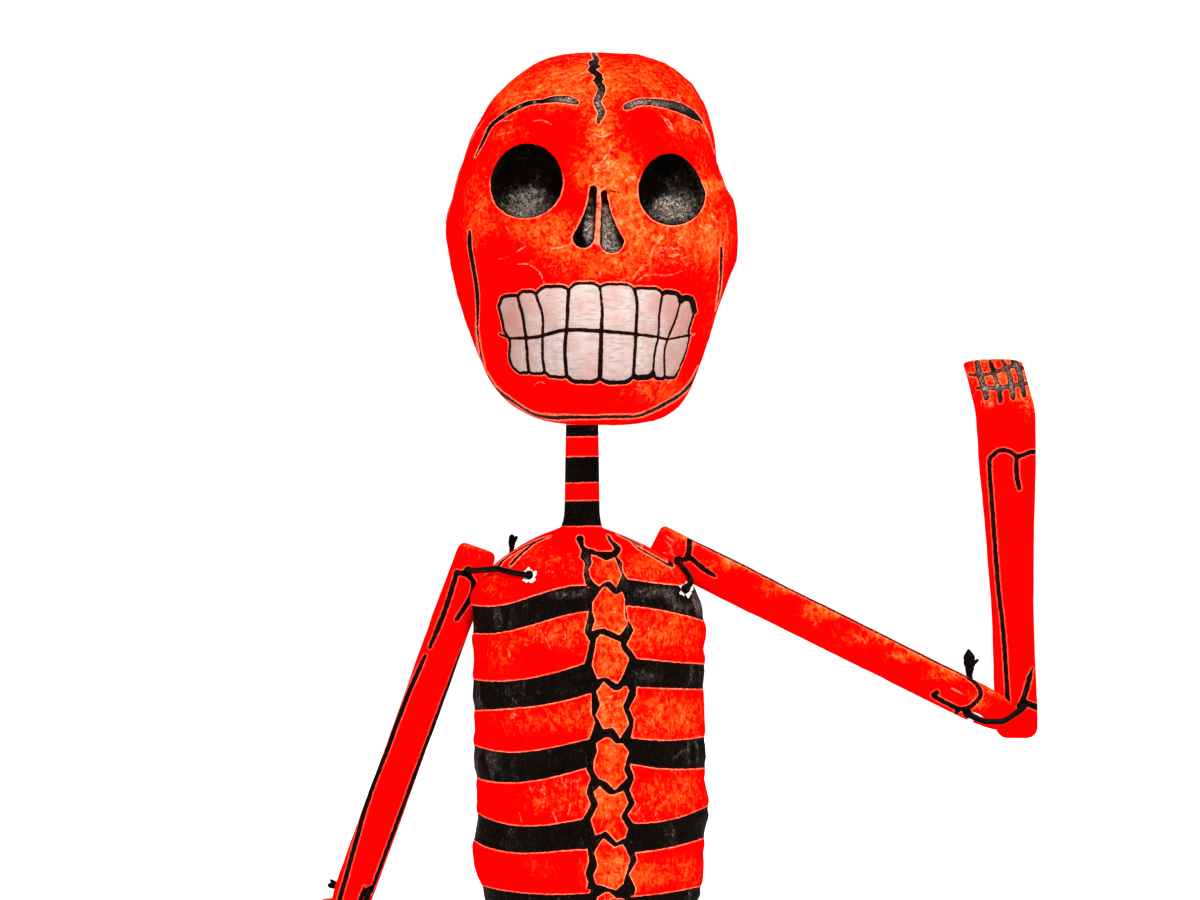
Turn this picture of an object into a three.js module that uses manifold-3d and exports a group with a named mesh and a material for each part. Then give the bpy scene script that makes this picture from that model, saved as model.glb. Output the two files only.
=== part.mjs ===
import * as THREE from "three";
import { mergeVertices } from "three/addons/utils/BufferGeometryUtils.js";
import Module from "manifold-3d";

const wasm = await Module();
wasm.setup();

// All sizes are in millimetres. +Z is up, +X is to the viewer's right, the figure faces -Y.
// Left and right are the viewer's left and right.

// Fits
const restGap = 0.3;
const wireClearance = 0.4;
const pressGap = 0.35;

// Base
const baseWidth = 180;
const baseDepth = 120;
const baseHeight = 14;
const baseCorner = 10;
const baseBevel = 1.6;
const bevelRound = 0.3;

// Figure
const figureHeight = 598.4;
const bodyX = -3.2;
const bodyTurn = 13;

// Legs
const legSpacing = 31;
const thighWidth = 14.4;
const thighDepth = 10.5;
const thighShare = 0.497;
const shinWidth = 13.2;
const shinDepth = 9.5;
const kneeOverlap = 17;
const footLength = 37;
const footWidth = 19;
const footThickness = 8;
const ankleRadius = 9;
const hipSocketDepth = 7;

// Torso
const torsoHeight = 174;
const chestWidth = 68.2;
const chestDepth = 47;
const shoulderDrop = 23.7;
const ribsHeight = 78;
const waistWidth = 39;
const waistDepth = 31;
const waistLevel = 38.6;
const hipWidth = 60;
const hipDepth = 40;
const hipLevel = 16.4;
const chestSquareness = 2.5;

// Neck
const neckWidth = 9.6;
const neckFlare = 0.5;
const neckLength = 30.2;
const neckOffset = -2.1;
const neckSocketDepth = 10;

// Skull
const skullAside = 1.1;
const skullY = 2;
const skullHeight = 110;
const skullWidth = 86.8;
const skullWidestLevel = 56.2;
const crownTaper = 0.37;
const jawTaper = 0.4;
const cheekSoftness = 0.11;
const skullLean = 1.9;
const skullDip = 0.8;
const faceDepth = 47;
const cranialDepth = 42;
const napeTaper = 0.5;
const skullSquareness = 2.15;

// Relief of the face
const muzzleRise = 3.6;
const muzzleLevel = 29;
const muzzleHeight = 17;
const muzzleWidth = 21;
const browRise = 1.8;
const browLevel = 91;
const browHeight = 5.5;
const browHalfWidth = 29;
const noseRise = 2.2;
const noseLevel = 63;
const noseHeight = 12;
const noseHalfWidth = 5;
const cheekRise = 1.8;
const cheekLevel = 51;
const cheekHeight = 7;
const cheekHalfWidth = 9;
const cheekSpacing = 54;

// Eye sockets and nostrils
const eyeRadius = 11;
const eyeDepth = 13;
const eyeWall = 0.25;
const leftEyeSpread = 18.7;
const leftEyeLevel = 70;
const leftEyeSlim = 0.97;
const rightEyeSpread = 22.7;
const rightEyeLevel = 67.1;
const rightEyeSlim = 0.91;
const noseAside = 1.6;
const nostrilTopSpread = 1.5;
const nostrilBottomSpread = 4.3;
const nostrilTopRadius = 1.1;
const nostrilBottomRadius = 2.75;
const nostrilTopLevel = 65.9;
const nostrilBottomLevel = 51.7;
const nostrilTopDepth = 2.6;
const nostrilBottomDepth = 4.4;

// How each outline closes towards its end
const shoulderSide = { power: 1.8, root: 1.5 };
const shoulderFront = { power: 2.2, root: 1.7 };
const pelvisUnder = { power: 3, root: 3 };
const crownSide = { power: 5, root: 3 };
const jawSide = { power: 8, root: 3 };
const crownFront = { power: 3.5, root: 2.2 };
const jawFront = { power: 9, root: 3 };
const crownBack = { power: 2.6, root: 2 };
const jawBack = { power: 6, root: 2.5 };
const limbEnd = { power: 2, root: 2 };

// Arms
const upperArmLength = 119;
const upperArmWidth = 11.9;
const upperArmDepth = 8.5;
const leftShoulderInset = 1.1;
const leftShoulderDrop = 6.2;
const leftShoulderForward = 14;
const leftShoulderSoftness = 4.5;
const leftArmAngle = 19.9;
const rightShoulderInset = 14.9;
const rightShoulderDrop = 4.9;
const rightShoulderForward = 6.5;
const rightShoulderSoftness = 1.6;
const rightArmAngle = 63.6;
const armTipLength = 14;
const forearmLength = 114.6;
const forearmWidth = 12.7;
const forearmDepth = 8;
const handLength = 15.7;
const handWidth = 18;
const handLean = 11.5;
const handTilt = 20;
const elbowPast = 6.3;
const elbowAside = 3;
const leftForearmAngle = 4;
const rightForearmAngle = 182;
const elbowHoleInset = 11.9;
const elbowHoleOffset = 4.1;
const forearmHoleInset = 9.9;
const forearmHoleOffset = 1.5;

// Ends and edges of the limbs
const limbSquareness = 2.8;
const limbEndWidth = 0.5;
const limbSoftness = 3.5;
const handSoftness = 1.4;
const toeSoftness = 6;
const wristRadius = 3;
const handStart = 0.3;
const handFull = 0.9;
const handThinStart = 0.6;
const handThinFull = 0.95;
const handThinning = 0.7;
const footStart = 1.2;
const footFull = 0.3;
const footFlatStart = 1.3;

// Tie wires
const wireDiameter = 1.8;
const wireBend = 1.6;
const wireSlack = 0.4;
const wireSteps = 3;
const wireEdgeAngle = 78;
const elbowSag = 2;
const elbowSagStart = 0.25;
const elbowSagEnd = 0.62;
const elbowReturn = 0.3;
const cornerShare = 0.45;
const shoulderStubPlace = 0.68;
const elbowStubPlace = 0.6;
const hipStubPlace = 0.7;
const kneeStubPlace = 0.2;
const stubSwell = [1.05, 1.05, 1.3, 1.55, 0.7];
const stubMarks = [0, 0.4, 0.62, 0.82, 1];
const shoulderStubLength = 11;
const leftElbowStubLength = 11.5;
const leftElbowStubLean = 88;
const rightElbowStubLength = 19;
const rightElbowStubLean = -3;
const legStubLength = 10;
const leftChestHoleInset = 16.6;
const leftChestHoleDrop = 13.6;
const rightChestHoleInset = 5.8;
const rightChestHoleDrop = 18;
const leftArmHoleInset = 7.4;
const leftArmHoleOffset = 0.4;
const rightArmHoleInset = 9;
const rightArmHoleOffset = -1.6;
const hipHoleLevel = 13;
const hipHoleDrop = 9;
const kneeHoleInset = 9;

// Detail of the faceted skins
const skullRows = 26;
const skullColumns = 36;
const torsoColumns = 28;
const limbColumns = 10;
const wireSides = 5;
const stubSides = 6;
const holeSides = 6;
const eyeRings = 5;
const eyeSides = 20;
const nostrilSides = 10;
const socketSides = 20;
const pelvisSteps = 6;
const bodySteps = 12;
const shoulderSteps = 8;
const baseCornerSteps = 4;
const searchSteps = 180;
const limbEndMarks = [0, 0.25, 1];
const upperArmRows = 4;
const forearmRows = 8;
const thighRows = 4;
const shinRows = 11;
const joinDistance = 1e-4;

// The last row of a rounded end stops just short of its tip.
const nearEnd = 0.998;
const crownEdge = 0.986;

// Levels that follow from the sizes
const soleLevel = baseHeight + restGap;
const chinLevel = figureHeight - skullHeight;
const neckLevel = chinLevel - neckLength;
const pelvisLevel = neckLevel - torsoHeight;
const thighTop = pelvisLevel + hipSocketDepth - restGap;
const legLength = thighTop - soleLevel + kneeOverlap;
const thighLength = legLength * thighShare;
const shinLength = legLength - thighLength;
const kneeTop = soleLevel + shinLength;
const thighBottom = kneeTop - kneeOverlap;
const thighForward = (thighDepth + shinDepth) / 4;
const shinForward = thighForward - (thighDepth + shinDepth) / 2 - restGap;
const wireRadius = wireDiameter / 2;
const holeRadius = wireRadius + wireClearance;
const turn = THREE.MathUtils.degToRad(bodyTurn);
const skullX = bodyX + skullAside;
const noseX = skullX + noseAside;

function smooth(edge0, edge1, value) {
  return THREE.MathUtils.smoothstep(value, edge0, edge1);
}

function mix(a, b, t) {
  return a + (b - a) * t;
}

function bump(value, centre, reach) {
  return Math.exp(-(((value - centre) / reach) ** 2));
}

// Falls from one at the middle to zero at the end, along the given curve
function rounded(distance, { power, root }) {
  const inside = Math.max(0, 1 - Math.min(1, Math.abs(distance)) ** power);
  return inside ** (1 / root);
}

function signedPower(value, power) {
  return Math.sign(value) * Math.abs(value) ** power;
}

// A closed skin through rows of points, with a fan over each end.
function closedSkin(rows) {
  const count = rows[0].length;
  const points = rows.flat();
  const first = new THREE.Vector3();
  const last = new THREE.Vector3();
  rows[0].forEach((point) => first.addScaledVector(point, 1 / count));
  rows.at(-1).forEach((point) => last.addScaledVector(point, 1 / count));
  points.push(first, last);
  const triangles = [];
  for (let row = 0; row < rows.length - 1; row += 1) {
    for (let column = 0; column < count; column += 1) {
      const next = (column + 1) % count;
      const a = row * count + column;
      const b = row * count + next;
      const c = (row + 1) * count + next;
      const d = (row + 1) * count + column;
      triangles.push([a, b, c], [a, c, d]);
    }
  }
  const lastRow = (rows.length - 1) * count;
  for (let column = 0; column < count; column += 1) {
    const next = (column + 1) % count;
    triangles.push([points.length - 2, next, column]);
    triangles.push([points.length - 1, lastRow + column, lastRow + next]);
  }
  return outward(points, triangles);
}

// Puts the triangles in the order that faces outward.
function outward(points, triangles) {
  const cross = new THREE.Vector3();
  const volume = triangles.reduce((sum, [a, b, c]) => {
    cross.crossVectors(points[b], points[c]);
    return sum + points[a].dot(cross);
  }, 0);
  const order = volume < 0 ? triangles.map(([a, b, c]) => [a, c, b]) : triangles;
  const geometry = new THREE.BufferGeometry();
  const flat = points.flatMap((point) => [point.x, point.y, point.z]);
  geometry.setAttribute("position", new THREE.Float32BufferAttribute(flat, 3));
  geometry.setIndex(order.flat());
  return geometry;
}

function solidOf(geometry) {
  const merged = mergeVertices(geometry, joinDistance);
  const mesh = new wasm.Mesh({
    numProp: 3,
    vertProperties: Float32Array.from(merged.attributes.position.array),
    triVerts: Uint32Array.from(merged.index.array),
  });
  return new wasm.Manifold(mesh);
}

function geometryOf(solid) {
  const mesh = solid.getMesh();
  const geometry = new THREE.BufferGeometry();
  const positions = new THREE.BufferAttribute(Float32Array.from(mesh.vertProperties), 3);
  geometry.setAttribute("position", positions);
  geometry.setIndex(Array.from(mesh.triVerts));
  return geometry;
}

// Torso and neck, in their own upright frame before the turn
function torsoHalf(z) {
  return torsoReach(z, chestWidth / 2, waistWidth / 2, hipWidth / 2, shoulderSide);
}

function torsoThick(z) {
  return torsoReach(z, chestDepth / 2, waistDepth / 2, hipDepth / 2, shoulderFront);
}

function neckRadiusAt(z) {
  const fall = (z - neckLevel) / neckLength;
  return neckWidth / 2 + neckFlare * Math.max(0, 1 - fall);
}

function torsoReach(z, chest, waist, hip, shoulderCurve) {
  if (z > neckLevel) {
    return neckRadiusAt(z);
  }
  const drop = Math.min(1, (neckLevel - z) / shoulderDrop);
  const neckShare = neckRadiusAt(neckLevel) * (1 - drop);
  const shoulder = chest * rounded(1 - drop, shoulderCurve);
  const ribsBottom = neckLevel - shoulderDrop - ribsHeight;
  const waistZ = pelvisLevel + waistLevel;
  const hipZ = pelvisLevel + hipLevel;
  const toWaist = smooth(waistZ, ribsBottom, z);
  const toHip = smooth(hipZ, waistZ, z);
  const side = mix(waist, Math.hypot(shoulder, neckShare), toWaist);
  const lower = mix(hip, side, toHip);
  const under = Math.max(0, (hipZ - z) / hipLevel);
  return lower * rounded(under, pelvisUnder);
}

function torsoSquareness(z) {
  return mix(chestSquareness, 2, smooth(neckLevel - shoulderDrop, neckLevel, z));
}

function torsoShift(z) {
  return neckOffset * smooth(neckLevel - shoulderDrop * 1.5, neckLevel, z);
}

function torsoPoint(z, angle, grow = 0) {
  const power = 2 / torsoSquareness(z);
  const x = (torsoHalf(z) + grow) * signedPower(Math.sin(angle), power);
  const y = -(torsoThick(z) + grow) * signedPower(Math.cos(angle), power);
  const point = new THREE.Vector3(x, y, z);
  point.applyAxisAngle(new THREE.Vector3(0, 0, 1), turn);
  point.x += bodyX + torsoShift(z);
  return point;
}

// The angle round the torso of a place seen from the front, on its front or its back side
function torsoAngle(x, z, back = false) {
  const start = back ? Math.PI / 2 : -Math.PI / 2;
  let best = start;
  let least = Infinity;
  for (let step = 0; step <= searchSteps; step += 1) {
    const angle = start - turn + (Math.PI * step) / searchSteps;
    const miss = Math.abs(torsoPoint(z, angle).x - x);
    if (miss < least) {
      least = miss;
      best = angle;
    }
  }
  return best;
}

function torsoSkinY(x, z, back = false) {
  return torsoPoint(z, torsoAngle(x, z, back)).y;
}

function torsoLevels() {
  const levels = [];
  const hipZ = pelvisLevel + hipLevel;
  for (let step = 0; step < pelvisSteps; step += 1) {
    const swing = (Math.PI / 2) * (1 - step / pelvisSteps);
    levels.push(hipZ - hipLevel * Math.sin(swing) * nearEnd);
  }
  const shoulderZ = neckLevel - shoulderDrop;
  for (let step = 0; step <= bodySteps; step += 1) {
    levels.push(mix(hipZ, shoulderZ, step / bodySteps));
  }
  for (let step = 1; step <= shoulderSteps; step += 1) {
    const rise = step / shoulderSteps;
    levels.push(mix(shoulderZ, neckLevel, Math.sin((Math.PI / 2) * rise)));
  }
  levels.push(neckLevel + neckWidth / 5);
  levels.push(chinLevel + neckSocketDepth);
  return levels;
}

function torsoSkin(grow = 0) {
  const rows = torsoLevels().map((z) => {
    const row = [];
    for (let column = 0; column < torsoColumns; column += 1) {
      row.push(torsoPoint(z, (2 * Math.PI * column) / torsoColumns, grow));
    }
    return row;
  });
  return closedSkin(rows);
}

// Skull
function skullStation(z) {
  const level = z - chinLevel;
  const above = level > skullWidestLevel;
  const span = above ? skullHeight - skullWidestLevel : skullWidestLevel;
  const away = Math.min(1, Math.abs(level - skullWidestLevel) / span);
  const fall = Math.hypot(away, cheekSoftness) - cheekSoftness;
  const taper = 1 - (above ? crownTaper : jawTaper) * fall;
  const nape = above ? 1 : 1 - napeTaper * away;
  return {
    half: (skullWidth / 2) * taper * rounded(away, above ? crownSide : jawSide),
    shift: skullLean * smooth(above ? 0.5 : 0.7, 1, away) - skullDip * bump(away, 0.35, 0.2),
    front: faceDepth * rounded(away, above ? crownFront : jawFront),
    back: cranialDepth * nape * rounded(away, above ? crownBack : jawBack),
  };
}

function faceRelief(x, z) {
  const level = z - chinLevel;
  const side = Math.abs(x - skullX);
  const muzzle = muzzleRise * bump(level, muzzleLevel, muzzleHeight) * bump(side, 0, muzzleWidth);
  const brow = browRise * bump(level, browLevel, browHeight) * bump(side, 0, browHalfWidth);
  const nose = noseRise * bump(level, noseLevel, noseHeight) * bump(x, noseX, noseHalfWidth);
  const cheekAcross = bump(side, cheekSpacing / 2, cheekHalfWidth);
  const cheek = cheekRise * bump(level, cheekLevel, cheekHeight) * cheekAcross;
  return muzzle + brow + nose + cheek;
}

function skullPoint(z, angle) {
  const station = skullStation(z);
  const across = signedPower(Math.sin(angle), 2 / skullSquareness);
  const along = signedPower(Math.cos(angle), 2 / skullSquareness);
  const x = skullX + station.shift + station.half * across;
  const reach = along > 0 ? station.front : station.back;
  const facing = smooth(0, 0.5, along) * smooth(0, faceDepth * 0.6, station.front);
  const relief = faceRelief(x, z) * facing;
  return new THREE.Vector3(x, skullY - reach * along - relief, z);
}

function skullSkin() {
  const rows = [];
  for (let row = 0; row <= skullRows; row += 1) {
    const away = -Math.cos(Math.PI * mix(1 - crownEdge, crownEdge, 1 - row / skullRows));
    const span = away > 0 ? skullHeight - skullWidestLevel : skullWidestLevel;
    const z = chinLevel + skullWidestLevel + away * span;
    const ring = [];
    for (let column = 0; column < skullColumns; column += 1) {
      ring.push(skullPoint(z, (2 * Math.PI * column) / skullColumns));
    }
    rows.push(ring);
  }
  return closedSkin(rows);
}

// Depth of the front of the skull at a place seen from the front
function faceY(x, z) {
  let best = null;
  for (let step = 0; step <= searchSteps; step += 1) {
    const point = skullPoint(z, mix(-Math.PI / 2, Math.PI / 2, step / searchSteps));
    if (!best || Math.abs(point.x - x) < Math.abs(best.x - x)) {
      best = point;
    }
  }
  return best.y;
}

// An eye socket is a round bore from the front that ends in a bowl.
function eyeCutter(x, level, slim) {
  const z = chinLevel + level;
  const skinY = faceY(x, z);
  const rows = [eyeRow(x, skinY - faceDepth, z, eyeRadius, slim)];
  const bowlStart = skinY + eyeDepth * eyeWall;
  for (let ring = 0; ring <= eyeRings; ring += 1) {
    const swing = (Math.PI / 2) * (ring / eyeRings) * crownEdge;
    const y = mix(bowlStart, skinY + eyeDepth, Math.sin(swing));
    rows.push(eyeRow(x, y, z, eyeRadius * Math.cos(swing), slim));
  }
  return solidOf(closedSkin(rows));
}

function eyeRow(x, y, z, radius, slim) {
  const row = [];
  for (let side = 0; side < eyeSides; side += 1) {
    const angle = (2 * Math.PI * side) / eyeSides;
    const across = radius * slim * Math.cos(angle);
    row.push(new THREE.Vector3(x + across, y, z + radius * Math.sin(angle)));
  }
  return row;
}

function ballAt(x, z, radius, depth) {
  return wasm.Manifold.sphere(radius, nostrilSides)
    .scale([1, depth / radius, 1])
    .translate([x, faceY(x, z), z]);
}

// A nostril is a drop that is narrow at the bridge and round below.
function nostrilCutter(side) {
  const topX = noseX + side * nostrilTopSpread;
  const bottomX = noseX + side * nostrilBottomSpread;
  const top = ballAt(topX, chinLevel + nostrilTopLevel, nostrilTopRadius, nostrilTopDepth);
  const bottomZ = chinLevel + nostrilBottomLevel;
  const bottom = ballAt(bottomX, bottomZ, nostrilBottomRadius, nostrilBottomDepth);
  return wasm.Manifold.hull([top, bottom]);
}

function skullSolid() {
  const socketRadius = neckWidth / 2 + pressGap;
  const socketHeight = 2 * neckSocketDepth + restGap;
  const socket = wasm.Manifold.cylinder(socketHeight, socketRadius, socketRadius, socketSides)
    .translate([bodyX + neckOffset, 0, chinLevel - neckSocketDepth]);
  return solidOf(skullSkin())
    .subtract(eyeCutter(skullX - leftEyeSpread, leftEyeLevel, leftEyeSlim))
    .subtract(eyeCutter(skullX + rightEyeSpread, rightEyeLevel, rightEyeSlim))
    .subtract(nostrilCutter(-1))
    .subtract(nostrilCutter(1))
    .subtract(socket);
}

// A limb is a flattened paper roll swept along a curve. The side direction stays fixed.
function limbSkin({ curve, side, width, depth, softStart, softEnd, rows }) {
  const length = curve.getLength();
  const marks = [];
  for (const part of limbEndMarks) {
    marks.push((softStart * part) / length);
    marks.push(1 - (softEnd * part) / length);
  }
  for (let row = 1; row < rows; row += 1) {
    marks.push(mix(softStart / length, 1 - softEnd / length, row / rows));
  }
  marks.sort((a, b) => a - b);
  const skin = marks.map((mark) => {
    const centre = curve.getPointAt(mark);
    const ahead = curve.getTangentAt(mark);
    const through = new THREE.Vector3().crossVectors(side, ahead).normalize();
    const fromStart = Math.min(1, (mark * length) / softStart);
    const fromEnd = Math.min(1, ((1 - mark) * length) / softEnd);
    const startScale = mix(limbEndWidth, 1, rounded(1 - fromStart, limbEnd));
    const endScale = mix(limbEndWidth, 1, rounded(1 - fromEnd, limbEnd));
    const halfWidth = (width(mark) / 2) * startScale * endScale;
    const halfDepth = (depth(mark) / 2) * startScale * endScale;
    const ring = [];
    for (let column = 0; column < limbColumns; column += 1) {
      const angle = (2 * Math.PI * (column + 0.5)) / limbColumns;
      const point = centre.clone();
      point.addScaledVector(side, halfWidth * signedPower(Math.sin(angle), 2 / limbSquareness));
      point.addScaledVector(through, halfDepth * signedPower(Math.cos(angle), 2 / limbSquareness));
      ring.push(point);
    }
    return ring;
  });
  return closedSkin(skin);
}

// A direction in the picture plane, turned from straight down towards the given side
function hanging(angle, side) {
  const radians = THREE.MathUtils.degToRad(angle);
  return new THREE.Vector3(side * Math.sin(radians), 0, -Math.cos(radians));
}

function armFrame(side) {
  const left = side < 0;
  const inset = left ? leftShoulderInset : rightShoulderInset;
  const drop = left ? leftShoulderDrop : rightShoulderDrop;
  const back = chestDepth / 2 - (left ? leftShoulderForward : rightShoulderForward);
  const x = bodyX + side * (chestWidth / 2 - inset);
  const start = new THREE.Vector3(x, back, neckLevel - drop);
  const along = hanging(left ? leftArmAngle : rightArmAngle, side);
  const end = start.clone().addScaledVector(along, upperArmLength);
  const outer = new THREE.Vector3(-along.z * side, 0, along.x * side);
  return { side, start, along, end, outer };
}

function upperArmSkin(arm) {
  return limbSkin({
    curve: new THREE.LineCurve3(arm.start, arm.end),
    side: arm.outer,
    width: () => upperArmWidth,
    depth: () => upperArmDepth,
    softStart: arm.side < 0 ? leftShoulderSoftness : rightShoulderSoftness,
    softEnd: armTipLength,
    rows: upperArmRows,
  });
}

function forearmFrame(arm) {
  const along = hanging(arm.side < 0 ? leftForearmAngle : rightForearmAngle, arm.side);
  const behind = (upperArmDepth + forearmDepth) / 2 + restGap;
  const start = arm.end.clone();
  start.y += behind;
  start.addScaledVector(along, -elbowPast);
  start.x += arm.side * elbowAside;
  const wrist = start.clone().addScaledVector(along, forearmLength - handLength);
  const lean = THREE.MathUtils.degToRad(handLean);
  const tilt = THREE.MathUtils.degToRad(handTilt);
  const hand = along.clone().applyAxisAngle(new THREE.Vector3(0, 1, 0), -lean);
  hand.multiplyScalar(Math.cos(tilt));
  hand.y = arm.side * Math.sin(tilt);
  const end = wrist.clone().addScaledVector(hand, handLength);
  const outer = new THREE.Vector3(1, 0, 0);
  return { side: arm.side, start, along, wrist, end, outer };
}

function bentPath(start, bend, end, reach) {
  const before = bend.clone().add(start.clone().sub(bend).setLength(reach));
  const after = bend.clone().add(end.clone().sub(bend).setLength(reach));
  const path = new THREE.CurvePath();
  path.add(new THREE.LineCurve3(start, before));
  path.add(new THREE.QuadraticBezierCurve3(before, bend, after));
  path.add(new THREE.LineCurve3(after, end));
  return path;
}

function forearmSkin(forearm) {
  return limbSkin({
    curve: bentPath(forearm.start, forearm.wrist, forearm.end, wristRadius),
    side: forearm.outer,
    width: (mark) => mix(forearmWidth, handWidth, smooth(handStart, handFull, mark)),
    depth: (mark) => forearmDepth * mix(1, handThinning, smooth(handThinStart, handThinFull, mark)),
    softStart: limbSoftness,
    softEnd: handSoftness,
    rows: forearmRows,
  });
}

// Legs stand in the turned frame of the body.
function legPoint(side, forward, z) {
  const point = new THREE.Vector3((side * legSpacing) / 2, -forward, z);
  point.applyAxisAngle(new THREE.Vector3(0, 0, 1), turn);
  point.x += bodyX;
  return point;
}

function legSideways() {
  return new THREE.Vector3(1, 0, 0).applyAxisAngle(new THREE.Vector3(0, 0, 1), turn);
}

function thighSkin(side, grow = 0) {
  const start = legPoint(side, thighForward, thighTop + grow);
  const end = legPoint(side, thighForward, thighBottom);
  return limbSkin({
    curve: new THREE.LineCurve3(start, end),
    side: legSideways(),
    width: () => thighWidth + 2 * grow,
    depth: () => thighDepth + 2 * grow,
    softStart: limbSoftness,
    softEnd: armTipLength,
    rows: thighRows,
  });
}

function shinSkin(side) {
  const footLevel = soleLevel + footThickness / 2;
  const start = legPoint(side, shinForward, kneeTop);
  const ankle = legPoint(side, shinForward, footLevel);
  const toe = legPoint(side, shinForward + footLength, footLevel);
  const share = footLength / (shinLength + footLength);
  const widening = (mark) => smooth(1 - share * footStart, 1 - share * footFull, mark);
  const flattening = (mark) => smooth(1 - share * footFlatStart, 1 - share, mark);
  return limbSkin({
    curve: bentPath(start, ankle, toe, ankleRadius),
    side: legSideways(),
    width: (mark) => mix(shinWidth, footWidth, widening(mark)),
    depth: (mark) => mix(shinDepth, footThickness, flattening(mark)),
    softStart: limbSoftness,
    softEnd: toeSoftness,
    rows: shinRows,
  });
}

// A hole bored from front to back
function boreAt(x, z) {
  const length = chestDepth * 2;
  return wasm.Manifold.cylinder(length, holeRadius, holeRadius, holeSides, true)
    .rotate([90, 0, 0])
    .translate([x, 0, z]);
}

// Where each wire passes through its two pieces
function shoulderHoles(arm) {
  const left = arm.side < 0;
  const chest = {
    x: bodyX + arm.side * (chestWidth / 2 - (left ? leftChestHoleInset : rightChestHoleInset)),
    z: neckLevel - (left ? leftChestHoleDrop : rightChestHoleDrop),
  };
  const inset = left ? leftArmHoleInset : rightArmHoleInset;
  const offset = left ? leftArmHoleOffset : rightArmHoleOffset;
  const limb = arm.start.clone().addScaledVector(arm.along, inset).addScaledVector(arm.outer, offset);
  return { chest, limb: { x: limb.x, z: limb.z } };
}

function elbowHoles(arm, forearm) {
  const upper = arm.end.clone().addScaledVector(arm.along, -elbowHoleInset);
  upper.addScaledVector(arm.outer, -elbowHoleOffset);
  const lower = forearm.start.clone().addScaledVector(forearm.along, forearmHoleInset);
  lower.addScaledVector(forearm.outer, arm.side * forearmHoleOffset);
  return { upper: { x: upper.x, z: upper.z }, lower: { x: lower.x, z: lower.z } };
}

function legHoles(side) {
  const axis = legPoint(side, 0, 0);
  return {
    hip: { x: axis.x, z: pelvisLevel + hipHoleLevel },
    thighUpper: { x: axis.x, z: pelvisLevel - hipHoleDrop },
    thighLower: { x: axis.x, z: kneeTop + kneeHoleInset },
    shin: { x: axis.x, z: thighBottom - kneeHoleInset },
  };
}

// A closed loop of wire through corner points, with every corner bent round
function wireLoop(corners) {
  const centres = [];
  corners.forEach((corner, index) => {
    const before = corners.at(index - 1);
    const after = corners[(index + 1) % corners.length];
    const back = before.clone().sub(corner);
    const ahead = after.clone().sub(corner);
    const reach = Math.min(wireBend, back.length() * cornerShare, ahead.length() * cornerShare);
    const from = corner.clone().add(back.setLength(reach));
    const to = corner.clone().add(ahead.setLength(reach));
    const bend = new THREE.QuadraticBezierCurve3(from, corner, to);
    [0, 0.5, 1].forEach((mark) => centres.push(bend.getPoint(mark)));
  });
  return ringSkin(centres);
}

function ringSkin(centres) {
  const count = centres.length;
  const ahead = centres.map((centre, index) => {
    const next = centres[(index + 1) % count];
    return next.clone().sub(centres.at(index - 1)).normalize();
  });
  const upright = new THREE.Vector3(0, 0, 1);
  const across = [upright.cross(ahead[0]).normalize()];
  for (let index = 1; index <= count; index += 1) {
    const carry = new THREE.Quaternion().setFromUnitVectors(ahead[index - 1], ahead[index % count]);
    across.push(across[index - 1].clone().applyQuaternion(carry));
  }
  const closing = across[0].clone().cross(ahead[0]);
  const slip = Math.atan2(across[count].dot(closing), across[count].dot(across[0]));
  const points = [];
  const triangles = [];
  centres.forEach((centre, index) => {
    const undo = new THREE.Quaternion().setFromAxisAngle(ahead[index], (slip * index) / count);
    const spoke = across[index].clone().applyQuaternion(undo);
    for (let side = 0; side < wireSides; side += 1) {
      const angle = (2 * Math.PI * side) / wireSides;
      const arm = spoke.clone().applyAxisAngle(ahead[index], angle).multiplyScalar(wireRadius);
      points.push(centre.clone().add(arm));
      const nextRing = ((index + 1) % count) * wireSides;
      const nextSide = (side + 1) % wireSides;
      const a = index * wireSides + side;
      const b = index * wireSides + nextSide;
      const c = nextRing + nextSide;
      const d = nextRing + side;
      triangles.push([a, b, c], [a, c, d]);
    }
  });
  return outward(points, triangles);
}

// The two ends of a wire, twisted together into a stub
function wireStub(foot, tip) {
  const ahead = tip.clone().sub(foot);
  const across = new THREE.Vector3(0, 1, 0).cross(ahead).normalize();
  const through = across.clone().cross(ahead).normalize();
  const rows = stubMarks.map((mark, index) => {
    const centre = foot.clone().addScaledVector(ahead, mark);
    const radius = stubSwell[index] * wireRadius;
    const row = [];
    for (let side = 0; side < stubSides; side += 1) {
      const angle = (2 * Math.PI * side) / stubSides;
      const point = centre.clone();
      point.addScaledVector(across, radius * Math.cos(angle));
      point.addScaledVector(through, radius * Math.sin(angle));
      row.push(point);
    }
    return row;
  });
  return closedSkin(rows);
}

function tieWire(corners, foot, tip) {
  return solidOf(wireLoop(corners)).add(solidOf(wireStub(foot, tip)));
}

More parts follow.
